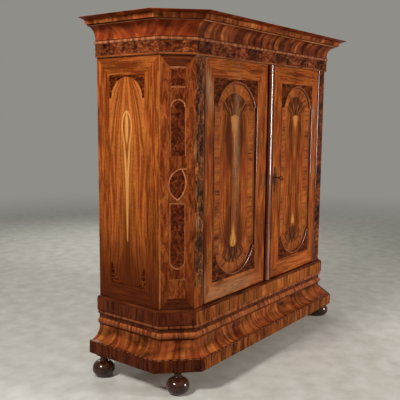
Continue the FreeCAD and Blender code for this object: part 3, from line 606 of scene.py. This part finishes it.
crownOutline = [
    (-15, 1866), ("hidden", (12, 1866)), ("bead", (19, 1874), (12, 1882)), ("quirk", (12, 1886)),
    ("cove", rounded((12, 1886), (12, 1957), (58, 1957)), (58, 1957)), ("quirk", (66, 1957)),
    ("line", (70, 1961), (66, 1965)), ("quirk", (83, 1965)), ("corona", (84, 1966)), ("corona", (90, 1988)),
    ("tip", (132, 1998)), ("tip", (132, 2000)), ("hidden", (-15, 2000)), ("hidden", (-15, 1866))]
crownZones = {
    "hidden": hidden, "quirk": plain,
    "bead": dict(wood=blockBead, leaf=22, alternate=0.7, spread=0.6, frontTone=-0.6),
    "cove": dict(wood=coveWalnut, front=coveFront, leaf=150, slope=0.6, frontSlope=0.12, spread=0.6),
    "line": dict(wood=blockBead, leaf=150, across=False, sideTone=0.4, frontTone=-0.2),
    "corona": dict(wood=flareWalnut, leaf=110, spread=0.9, frontTone=-1.0, sideTone=-0.3),
    "tip": dict(wood=coveWalnut, across=False, leaf=900, spread=0.2, sideTone=-0.9, frontTone=-1.5)}
addRuns("crown", crownOutline, crownZones)
print("mouldings made")


# Turned feet: ball, bead and neck as arcs of radius and height with their steps, then a tenon

footArcs = [((30, 0), (65, 44), (19, 88), 22), ((19, 88), (25, 93), (19, 98), 6),
            ((19, 98), rounded((19, 98), (19, 126), (42, 126)), (42, 126), 8)]
footTenon = [(15, 126), (15, 166)]
footOutline = np.concatenate([[(30.0, 0.0)], *(arcThrough(*arc)[1:] for arc in footArcs), footTenon])


def addFoot(name):
    # circles of the outline's radius, stacked by its height
    low, high = span(name)
    turn = -np.linspace(0, 2 * np.pi, 64, endpoint=False)
    ring = np.stack([np.cos(turn), np.sin(turn)], -1)
    plan = (low + high)[:2] / 2 + footOutline[:, :1, None] * ring[None]
    rings = np.concatenate([plan, np.broadcast_to(footOutline[:, 1:, None], plan.shape[:2] + (1,))], -1)
    addPiece(name.replace("foot", "turned_foot"), [tube(rings, travel(footOutline))], [footWood],
             sharp=40, stands=[name])


for end in ("front_left", "front_right", "rear_left", "rear_right"):
    addFoot("foot_" + end)
print("feet made")


# Marquetry: each mark is a function of a and z, across and up a plane, that gives mm inside its shape

def taper(levels, halves, middle=0.0):
    # upright shape whose half width is known at a few heights
    return lambda a, z: np.interp(z, levels, halves) - np.abs(a - middle)


def patch(centre, radii, reach, slant=0.0):
    # oval that may lean sideways with height, full at its middle
    return lambda a, z: (1 - np.hypot((a - centre[0] - slant * (z - centre[1])) / radii[0],
                                      (z - centre[1]) / radii[1])) * reach


def anyOf(*shapes):
    return lambda a, z: np.maximum.reduce([shape(a, z) for shape in shapes])


def under(level):
    return lambda a, z: level - z


def rows(low, high, step):
    return np.linspace(low, high, max(2, int(abs(high - low) / step) + 1))


def mitredFrame(plane, outer, inner, marks, zones=(0, 0, 0, 0), tones=(0, 0, 0, 0)):
    # four leaves between two rectangles (left, low, right, high), mitred on the lines between corners
    (al, bl, cl, dl), (ai, bi, ci, di) = outer, inner
    t = np.linspace(0, 1, 25)[:, None]
    ends = [((al, bl), (al, dl), (ai, bi), (ai, di)), ((ci, bi), (ci, di), (cl, bl), (cl, dl)),
            ((ai, bi), (ci, bi), (al, bl), (cl, bl)), ((ci, di), (ai, di), (cl, dl), (al, dl))]
    leaves = zip(np.array(ends), zones, (0, 0, 90, 90), tones)
    return [sheet(plane, (1 - t) * a + t * b, (1 - t) * c + t * d, 12, zone, grainAngle=turn, tones=tone,
                  marks=marks) for (a, b, c, d), zone, turn, tone in leaves]


def archHalf(z, radius, level, up):
    # half width of an arch at a height: root of radius squared less the height above its centre squared
    return np.sqrt(np.maximum(radius ** 2 - ((z - level) * up) ** 2, 0.0))


# Sides: mitred frame, arched field with a double loop of sapwood, dark spandrels
rubAndHighlightLevels = [449, 480, 900, 1100, 1300, 1795]  # heights of the rubbed wood and painted highlight on the corner's arris
sidePanel = {
    "frame": (0, baseTop, backY - frontY - cant, friezeFoot), "field": (93, 544, 351, 1698), "arch": 113,
    "rise": 1574, "fall": 658, "shadeAndStain": 760, "rub": [1, 3, 2, 0, 0, 2],
    "flow": ([560, 760, 1000, 1300, 1450, 1540, 1620, 1690], [0.72, 1.0, 1.1, 1.0, 1.15, 1.4, 1.9, 3.2]),
    "loop": ([760, 800, 985, 1163, 1331, 1380, 1418, 1450, 1480, 1503, 1511, 1520],
             [-8, 3, 10, 14, 26, 34, 39, 37, 29, 14, 4, -12]),
    "slit": ([1165, 1184, 1260, 1331, 1380, 1418, 1450, 1480, 1497, 1506],
             [-30, 1.5, 7, 14, 23, 29, 27, 19, 7, -30]),
    "core": ([1325, 1332, 1400, 1470, 1504, 1512], [-8, 2, 12, 10, 3, -8]),
    "flank": ([560, 640, 700, 800, 1000, 1150], [0, 14, 22, 16, -6, -40])}
left, low, right, high = sidePanel["field"]
middle, arch = (left + right) / 2, sidePanel["arch"]
loop, slit, core, flank = (taper(*sidePanel[key], middle) for key in ("loop", "slit", "core", "flank"))
# painted shade: the side's veneer darkens below this height, where less light reaches towards the foot
shadeAndStain = under(sidePanel["shadeAndStain"])
fieldLook = {"fold": middle, "flow": sidePanel["flow"], "marks": {
    "tongue": lambda a, z: np.maximum(np.minimum(loop(a, z), -slit(a, z)), core(a, z)),
    "flank": flank, "deep": shadeAndStain}}
# side marks: rubbed wood with a painted highlight on the arris, painted shade towards the foot
sideWearAndLight = {"rub": taper(rubAndHighlightLevels, sidePanel["rub"], sidePanel["frame"][2]), "deep": shadeAndStain}
sideFace = makePlane(-half, backY, (0, -1))
parts = mitredFrame(sideFace, sidePanel["frame"], sidePanel["field"], sideWearAndLight, tones=(0.1, 0, -1.9, -0.9))
z = rows(sidePanel["fall"], sidePanel["rise"], 6)
parts.append(upright(sideFace, left, right, z, 64, 1, **fieldLook))
for level, edge, up in ((sidePanel["rise"], high, 1), (sidePanel["fall"], low, -1)):
    z = np.sort(level + up * arch * np.sin(np.linspace(0, 1, 25) * np.pi / 2) * 0.9999)
    w = archHalf(z, arch, level, up)
    parts.append(upright(sideFace, middle - w, middle + w, z, 56, 1, **fieldLook))
    z = np.sort(np.append(z, edge))
    w = archHalf(z, arch, level, up)
    parts.append(upright(sideFace, left, middle - w, z, 10, 2))
    parts.append(upright(sideFace, middle + w, right, z, 10, 2))
addPair("side_marquetry", parts, [figuredWalnut, sideField, spandrelWalnut])


# Cants: mitred frame, small burl panels lined with sapwood, pointed oval between them

def straight(a, b, c, d):
    return np.linspace((a, b), (c, d), 5)


cantLook = {"inner": (50, 509, 138, 1735), "shadeAndStain": 600, "rub": [2, 5, 4, 1, 1, 3], "inlaid": 0.8,
            "lined": 1.0, "burl": [(60, 131, 1640, 1720), (61, 131, 1275, 1530), (60, 130, 700, 1018)],
            "foot": (54, 137, 526, 608)}  # panels are left, right, low and high
cantFace = makePlane(-half, frontY + cant, (1, -1))
inner, inlaid = cantLook["inner"], {"lift": cantLook["inlaid"]}
# cant marks: rubbed wood with a painted highlight on the arris, painted shade below its level
cantWearAndLight = {"rub": taper(rubAndHighlightLevels, cantLook["rub"]), "deep": under(cantLook["shadeAndStain"])}
parts = mitredFrame(cantFace, (0, baseTop, cant * np.sqrt(2), friezeFoot), inner, cantWearAndLight, (0, 0, 3, 3),
                    (0.1, -0.4, 0, 1.2))
parts.append(upright(cantFace, inner[0], inner[2], rows(inner[1], inner[3], 20), 16, 0, tones=-1.2))
archTop = arcThrough((60, 1530), (97, 1567), (134, 1530), 16)
archFoot = arcThrough((60, 701), (95, 672), (131, 701), 16)
oval = np.concatenate([arcThrough((96, 1044), (48, 1125), (105, 1207), 14), [[143, 1209]]])
ovalLeft = arcThrough((96, 1044), (50, 1125), (105, 1205), 14)
ovalRight = arcThrough((96, 1044), (136, 1110), (118, 1203), 14)
for left, right, low, high in cantLook["burl"]:
    parts.append(upright(cantFace, left, right, rows(low, high, 10), 8, 1, **inlaid))
for left, right in ((archTop[:9], archTop[:7:-1]), (ovalLeft, ovalRight), (archFoot[8::-1], archFoot[8:])):
    parts.append(sheet(cantFace, left, right, 8, 1, **inlaid))
left, right, low, high = cantLook["foot"]
parts.append(upright(cantFace, left, right, rows(low, high, 10), 8, 0, tones=-0.6, **inlaid))
lines = [(straight(55, 1731, 137, 1731), 6), (straight(60, 1631, 134, 1631), 5), (archTop, 6.5),
         (straight(56, 1275, 56, 1530), 3), (straight(136, 1275, 136, 1530), 3), (oval, 7),
         (ovalRight, 6.5), (straight(51, 1025, 131, 1025), 4), (straight(55, 701, 55, 1023), 3),
         (straight(135, 701, 135, 1023), 3), (archFoot, 7), (straight(54, 612, 137, 612), 3)]
parts += [ribbon(cantFace, path, width, 2, lift=cantLook["lined"], tones=rng.uniform(-0.5, 0.5))
          for path, width in lines]
addPair("cant_marquetry", parts, [curlyWalnut, burlWalnut, stringing, deepWalnut])

# Stiles beside the doors: burl in several leaves, scuffed at the arris
stileLook = {"tops": (560, 640, 735, 865, 975, 1145, 1240, 1440, 1600, friezeFoot),
             "woods": (2, 1, 0, 1, 0, 0, 1, 0, 0, 0),
             "tones": (-0.3, 0.1, 0.3, -1.3, 0.8, -0.7, 0.3, -0.5, -0.3, -0.4), "clear": 8}
arris = stileLow[0]
frontFace = makePlane(0, frontY, (1, 0))
stileWear = {"worn": anyOf(patch((arris, 1310), (12, 60), 24), patch((arris, 1085), (18, 40), 24),
                           patch((arris + 22, 920), (16, 34), 17))}
parts, low = [], baseTop
for high, wood, tone in zip(*(stileLook[key] for key in ("tops", "woods", "tones"))):
    parts.append(upright(frontFace, arris, stileHigh[0] - stileLook["clear"], rows(low, high, 30), 8, wood,
                         tones=tone, marks=stileWear))
    low = high
addPair("stile_veneer", parts, [stileBurl, stileBrown, figuredWalnut], [friezeBurl] * 3)
print("carcass veneers made")


# Doors: mitred frame, dark spandrels, crossbanded border and book-matched field
doorLook = {
    "trim": 20.0, "step": 24.0, "margin": 10.0, "rise": 140.0, "border": 57.0, "archBorder": 47.0,
    "round": 10.0, "tongueTop": 1494,
    "flow": ([600, 660, 735, 800, 900, 1340, 1440, 1495, 1560, 1630],
             [0.7, 0.9, 1.4, 1.3, 1.0, 1.0, 1.3, 1.4, 0.9, 0.7]),
    "tongue": ([-330, -220, -150, -112, -70, -36, -10, 4], [-40, -14, 6, 14, 27, 34, 34, -30]),
    "emberFoot": 737, "ember": ([-24, -4, 12, 36, 90, 140, 170], [-40, 24, 30, 28, 12, -4, -40]),
    "fan": ([600, 622, 650, 680, 712, 740, 762, 1470, 1494, 1513, 1550, 1585, 1610, 1630],
            [-30, 30, 96, 118, 88, 48, -30, -30, 60, 112, 150, 128, 44, -30]),
    "petals": {"depth": 6, "count": 9, "level": 1122, "arm": 345},  # waves of the fan's edge
    "flank": ([690, 740, 780, 880, 958, 1030, 1130, 1200, 1280, 1400, 1490, 1530],
              [-20, 94, 110, 94, 50, -30, -30, 46, 94, 116, 100, -10]),
    "flankSlope": 1.6, "flankGap": 30}  # flanks keep off the middle line
trimZones = ["side", "bead", "hollow"]
trimSection = [
    (0, 0), ("side", (0, 2)), ("side", (1.8, 4.88), (5, 6)), ("bead", (8.2, 4.88), (10, 2)),
    ("hollow", (10, 0)), ("hollow", rounded((10, 0), (10, -10), (18, -10)), (18, -10)), ("hollow", (20, -10)),
    ("hollow", (20, -12)), ("hollow", (6, -12)), ("side", (6, 0)), ("side", (0, 0))]


def addDoor(hand, wearAndSheen):
    # everything on one leaf, drawn in x and z; the field lies sunk inside its moulding
    look, door, fade, shrink = doorLook, hand + "_door", wearAndSheen["fade"], wearAndSheen["shrink"]
    hinge, meeting = span(door + "_hinge_stile"), span(door + "_meeting_stile")
    x0, x1 = (corner[0] for corner in span(door + "_moulding"))
    outer = (hinge[0][0] + look["round"], doorLow, meeting[1][0], doorHigh)
    if hand == "right":
        outer = (span("meeting_strip")[1][0], doorLow, hinge[1][0] - look["round"], doorHigh)
    face, sunk = makePlane(0, doorFront, (1, 0)), makePlane(0, fieldY, (1, 0))
    centre, spread = (x0 + x1) / 2, (x1 - x0) / 2
    high, low = panelHigh - look["margin"], panelLow + look["margin"]
    rise, border = look["rise"], look["border"]
    springs = (low + rise, high - rise)
    radius = ((spread - look["step"]) ** 2 + rise ** 2) / (2 * rise)
    depth = radius - rise  # the arch's centre lies this far inside its springing
    outside = radius - look["trim"]
    inside = outside - look["archBorder"]
    clear = spread - look["trim"]
    wide, narrow = clear - border, np.sqrt(inside ** 2 - depth ** 2)

    def archTurn(r, share):
        # angles on a circle about the arch's centre, from springing to springing
        begin = np.arcsin(depth / r)
        return begin + (np.pi - 2 * begin) * share

    tongue, ember, fan, flank = (taper(*look[key], centre) for key in ("tongue", "ember", "fan", "flank"))
    petals = look["petals"]
    fieldLook = {"fold": centre, "flow": look["flow"], "marks": {
        "tongue": lambda a, z: tongue(a, (z - look["tongueTop"]) * shrink) - fade,
        "ember": lambda a, z: ember(a, (z - look["emberFoot"] - 7 * fade) * shrink) - 2 * fade,
        "fan": lambda a, z: fan(a, z) + petals["depth"] * np.cos(petals["count"] * np.arctan2(
            a - centre, np.abs(z - petals["level"]) - petals["arm"])),
        "flank": lambda a, z: np.minimum(
            flank(a, z), look["flankSlope"] * np.abs(a - centre) - look["flankGap"]) - 5 * fade,
        "worn": wearAndSheen["worn"]}}
    parts = mitredFrame(face, outer, (x0, panelLow, x1, panelHigh),
                        {"worn": wearAndSheen["worn"], "deep": wearAndSheen["shadeAndStain"]}, tones=wearAndSheen["tones"])
    z = rows(springs[0] + border, springs[1] - border, 6)
    parts.append(upright(sunk, centre - wide, centre + wide, z, 72, 1, **fieldLook))
    for spring, edge, top, up in ((springs[1], panelHigh, high, 1), (springs[0], panelLow, low, -1)):
        # shoulder of the field with a block of border at each side
        level = top - up * radius
        z = np.sort(np.linspace(spring - up * border, spring, 10))
        parts.append(upright(sunk, centre - narrow, centre + narrow, z, 56, 1, **fieldLook))
        for side in (-1, 1):
            near, far = sorted((centre + side * narrow, centre + side * wide))
            parts.append(upright(sunk, near, far, z, 4, 2, tones=rng.uniform(-0.6, 0.6)))
        # head of the field
        t = np.linspace(np.arcsin(depth / inside), np.pi / 2, 30)
        w, z = inside * np.cos(t), level + up * inside * np.sin(t)
        w[-1] = 0.05
        parts.append(upright(sunk, centre - w[::up], centre + w[::up], z[::up], 56, 1, **fieldLook))
        # arched border in leaves
        leaves = leafEdges(np.pi * outside, 85, 0.6)
        share = np.unique(np.concatenate([leaves, np.linspace(0, 1, 41)]))
        tones = rng.uniform(-0.6, 0.6, len(leaves))[np.searchsorted(leaves, (share[:-1] + share[1:]) / 2)]
        arcs = []
        for r in (inside, outside)[::up]:
            turn = archTurn(r, share)
            arcs.append(np.stack([centre + r * np.cos(turn), level + up * r * np.sin(turn)], -1))
        parts.append(sheet(sunk, *arcs, 4, 2, banded=True, tones=tones))
        # spandrels
        z = np.sort(np.append(spring + up * np.linspace(0, 1, 24) ** 0.6 * rise, edge))
        w = archHalf(z, radius, level, up)
        parts.append(upright(face, x0, centre - w, z, 10, 3))
        parts.append(upright(face, centre + w, x1, z, 10, 3))
    z = springs[0] + leafEdges(springs[1] - springs[0], 95, 0.7) * (springs[1] - springs[0])
    for side in (-1, 1):
        near, far = sorted((centre + side * wide, centre + side * clear))
        tones = rng.uniform(-0.65, 0.65, len(z) - 1)
        parts.append(upright(sunk, near, far, z, 4, 2, banded=True, tones=tones))
    addPiece(door + "_marquetry", parts, [figuredWalnut, doorField, borderWalnut, spandrelWalnut], door)

    section, zones = trace(trimSection, 6)
    index = [trimZones.index(zone) for zone in zones]
    inwards, y = section[:, 0], doorFront - section[:, 1]
    trims = []
    for side in (-1, 1):
        # straight bar: the section drawn inwards from the panel's edge
        x = centre + side * (spread - inwards)
        rings = np.stack([np.stack([x, y, np.full(len(x), level)], -1) for level in springs[::-side]])
        trims.append(tube(rings, np.array([0, springs[1] - springs[0]]), index))
    for top, up in ((high, 1), (low, -1)):
        # arch: the section turned about the arch's centre and cut level with the springing
        level, r = top - up * radius, radius - inwards
        turn = archTurn(r, np.linspace(0, 1, 49)[:, None])
        rings = np.stack([centre + r * np.cos(turn), np.broadcast_to(y, turn.shape),
                          level + up * r * np.sin(turn)], -1)
        trims.append(tube(rings[::-up], np.linspace(0, np.pi * radius, 49), index))
    addPiece(door + "_arched_moulding", trims, [borderWalnut, glossBead, borderWalnut], door, sharp=40,
             stands=[door + "_moulding"])


# left door: worn polish and painted sheen; the hinge stile's top and the long streak down the field are a
# lamp's reflection painted in, the lower left is rubbed polish with painted sheen, the spot by the keyhole is
# worn
leftWornAndSheen = anyOf(patch((-610, 1606), (34, 115), 26, -0.16), patch((-44, 1080), (9, 45), 9),
                 patch((-330, 1290), (24, 330), 10), patch((-648, 545), (22, 90), 20),
                 patch((-420, 490), (270, 46), 16), patch((-520, 610), (40, 46), 18))
leftStain = anyOf(patch((-40, 1085), (15, 55), 500), patch((-600, 1330), (20, 60), 260),
                  patch((-640, 820), (14, 150), 300), patch((-500, 540), (40, 26), 260),
                  patch((-90, 700), (30, 130), 140))
addDoor("left", {"worn": leftWornAndSheen, "shadeAndStain": leftStain, "shrink": 1.0, "fade": 0.0,
                 "tones": (-0.25, 0.1, 0.9, -0.15)})
addDoor("right", {"worn": patch((600, 1500), (12, 60), 14), "shadeAndStain": patch((58, 1085), (18, 60), 500),
                  "shrink": 1.45, "fade": 5.0, "tones": (0.65, 0.55, 0.7, -0.15)})

# Meeting strip: flat lip with a half round on it
low, high = span("meeting_strip")
stripSection = [(0, 0), ("lip", (64, 0)), ("lip", (64, 10)), ("lip", (63, 11)), ("lip", (49, 11)),
                ("roll", (34, 17), (19, 11)), ("lip", (1, 11)), ("lip", (0, 10)), ("lip", (0, 0))]
section, zones = trace(stripSection, 14)
x, y = low[0] + section[:, 0], high[1] - section[:, 1]
rings = np.stack([np.stack([x, y, np.full(len(x), level)], -1) for level in (high[2], low[2])])
part = tube(rings, np.array([0, high[2] - low[2]]), [int(zone == "roll") for zone in zones])
addPiece("half_round_strip", [part], [edgeWalnut, glossBead], "right_door", sharp=40,
         stands=["meeting_strip"])

# Nails: rose heads that hold the plates
nailLook = {"share": np.array([1.0, 1.0, 0.82, 0.5, 0.12]), "facets": 5, "wave": 0.07,
            "rise": np.array([-0.12, 0.06, 0.24, 0.36, 0.42])}


def addNails(name, body, spots, face, out, size):
    # rings shrinking to a low dome, each ring waved a little by hammered facets
    turn = -np.linspace(0, 2 * np.pi, 20, endpoint=False)
    heads = []
    for x, z in spots:
        wave = 1 + nailLook["wave"] * np.cos(nailLook["facets"] * turn + rng.uniform(0, 6))
        r = size * nailLook["share"][:, None] * wave[None]
        y = np.broadcast_to(face + out * size * nailLook["rise"][:, None], r.shape)
        rings = np.stack([x - out * r * np.cos(turn), y, z + r * np.sin(turn)], -1)
        heads.append(tube(rings, np.arange(float(len(r)))))
    addPiece(name, heads, [forgedIron], body, 25)


low, high = span("right_escutcheon")
middle, reach = (low + high) / 2, (high[2] - low[2]) / 2 * 0.84
ends = [(middle[0], middle[2] + reach), (middle[0], middle[2] - reach)]
addNails("escutcheon_nails", "right_door", ends, low[1], -1, 3.0)
low, high = span("lock_case")
inset = 9
spots = [(x, z) for x in (low[0] + inset, high[0] - inset) for z in (low[2] + inset, high[2] - inset)]
addNails("lock_nails", "right_door", spots, high[1], 1, 4.0)
low, high = span("lock_keeper")
middle = (low + high) / 2
addNails("keeper_nails", "left_door", [(middle[0] - 10, middle[2])], high[1], 1, 3.5)
print("doors made")


# CAD pieces that stay: each takes the surface of what it is made of
pineNodes = ("base_rear_rail", "floor_board", "floor_ledgers", "shelf_lower", "shelf_middle", "shelf_upper",
             "shelf_bearers", "cornice_rear_rail", "top_board")
surfaces = {"back_boards": pineUp, "front_stile_left": walnutBright, "front_stile_right": walnutBright,
            **dict.fromkeys(pineNodes, pineLong)}
for name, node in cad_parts.items():
    if name in surfaces:
        material = surfaces[name]
    elif any(word in name for word in ("socket", "pivot", "bolt", "lock", "key", "escutcheon")):
        material = forgedIron
    else:
        material = walnutLong if "rail" in name else walnutUp
    node.data.materials.clear()
    node.data.materials.append(material)


# Stage, lamps and camera

floorSize, floorRings, floorSides = 9.0, 40, 96
ring = np.linspace(0.02, 1, floorRings)[:, None] ** 1.5 * floorSize
turn = np.linspace(0, 2 * np.pi, floorSides, endpoint=False)[None]
disc = np.stack(np.broadcast_arrays(ring * np.cos(turn), ring * np.sin(turn), 0.0), -1).reshape(-1, 3)
floorMesh = bpy.data.meshes.new("studio floor")
faces = gridQuads(floorRings, floorSides, True).tolist() + [list(range(floorSides))[::-1]]
floorMesh.from_pydata(disc, [], faces)
floor = bpy.data.objects.new("studio_floor", floorMesh)
bpy.context.scene.collection.objects.link(floor)
# pale stone floor that fades into the background
pale = bpy.data.materials.new("pale stone floor")
add = newTree(pale)
spot = add("TexCoord", out="Object")
speck = add("TexNoise", {"Vector": spot, "Scale": 9.0, "Detail": 6.0})
stone = add("ValToRGB", (speck,), stops="#BEBAB0 #C9C5BB #D2CFC7")
far = add("VectorMath LENGTH", (spot,), "Value")
fade = add("MapRange", {"Value": far, "From Min": 3.0, "From Max": 8.5}, interpolation_type="SMOOTHSTEP")
matt = add("BsdfPrincipled", {"Base Color": stone, "Roughness": 0.75, "Specular IOR Level": 0.2})
clear = add("BsdfTransparent")
add("OutputMaterial", (add("MixShader", (fade, matt, clear)),))
floorMesh.materials.append(pale)

world = bpy.data.worlds.new("studio")
bpy.context.scene.world = world
add = newTree(world)
# what the lens and the polish see is brighter than the fill light
path = add("LightPath").node.outputs
seen = add("Math ADD", (path["Is Camera Ray"], path["Is Glossy Ray"]))
seen = add("Math ADD", (seen, path["Is Transmission Ray"]), use_clamp=True)
strength = add("MapRange", {"Value": seen, "To Min": 0.6, "To Max": 1.0})
sky = add("Background", {"Color": linear("#8F8E89"), "Strength": strength})
add("OutputWorld", (sky,))


def aim(place, back, roll=0.0):
    # axes of a thing at place whose own Z points back, turned about it by the roll
    back = np.array(back) / np.linalg.norm(back)
    right = np.cross([0, 0, 1], back)
    right /= np.linalg.norm(right)
    up = np.cross(back, right)
    matrix = np.eye(4)
    matrix[:3, 0] = right * np.cos(roll) + up * np.sin(roll)
    matrix[:3, 1] = up * np.cos(roll) - right * np.sin(roll)
    matrix[:3, 2], matrix[:3, 3] = back, place
    return Matrix(matrix.tolist())


lamps = {
    "left lamp": {"from": (-3.2, 0.2, 3.0), "to": (-0.9, 0.1, 1.2), "size": (0.6, 0.6), "power": 107},
    "rear lamp": {"from": (2.4, 3.8, 2.6), "to": (0.0, 0.3, 1.0), "size": (2.0, 1.2), "power": 60},
    "front lamp": {"from": (1.6, -4.2, 1.45), "to": (0.0, -0.2, 1.05), "size": (0.45, 1.5), "power": 165}}
for name, lamp in lamps.items():
    light = bpy.data.lights.new(name, "AREA")
    light.shape = "RECTANGLE"
    (light.size, light.size_y), light.energy = lamp["size"], lamp["power"]
    holder = bpy.data.objects.new(name, light)
    bpy.context.scene.collection.objects.link(holder)
    holder.matrix_world = aim(lamp["from"], np.subtract(lamp["from"], lamp["to"]))

shot = {"place": (-3.3118, -2.2045, 1.4942), "yaw": 52.9368, "pitch": 7.8995, "roll": 0.4814, "lens": 55.76}
yaw, pitch, roll = (np.radians(shot[key]) for key in ("yaw", "pitch", "roll"))
camera = bpy.data.objects.new("camera", bpy.data.cameras.new("camera"))
camera.data.lens, camera.data.sensor_width = shot["lens"], 36.0
back = (-np.sin(yaw) * np.cos(pitch), -np.cos(yaw) * np.cos(pitch), np.sin(pitch))
camera.matrix_world = aim(shot["place"], back, roll)
bpy.context.scene.collection.objects.link(camera)
bpy.context.scene.camera = camera
bpy.context.scene.view_settings.view_transform = "Standard"
print("stage, lamps and camera set")
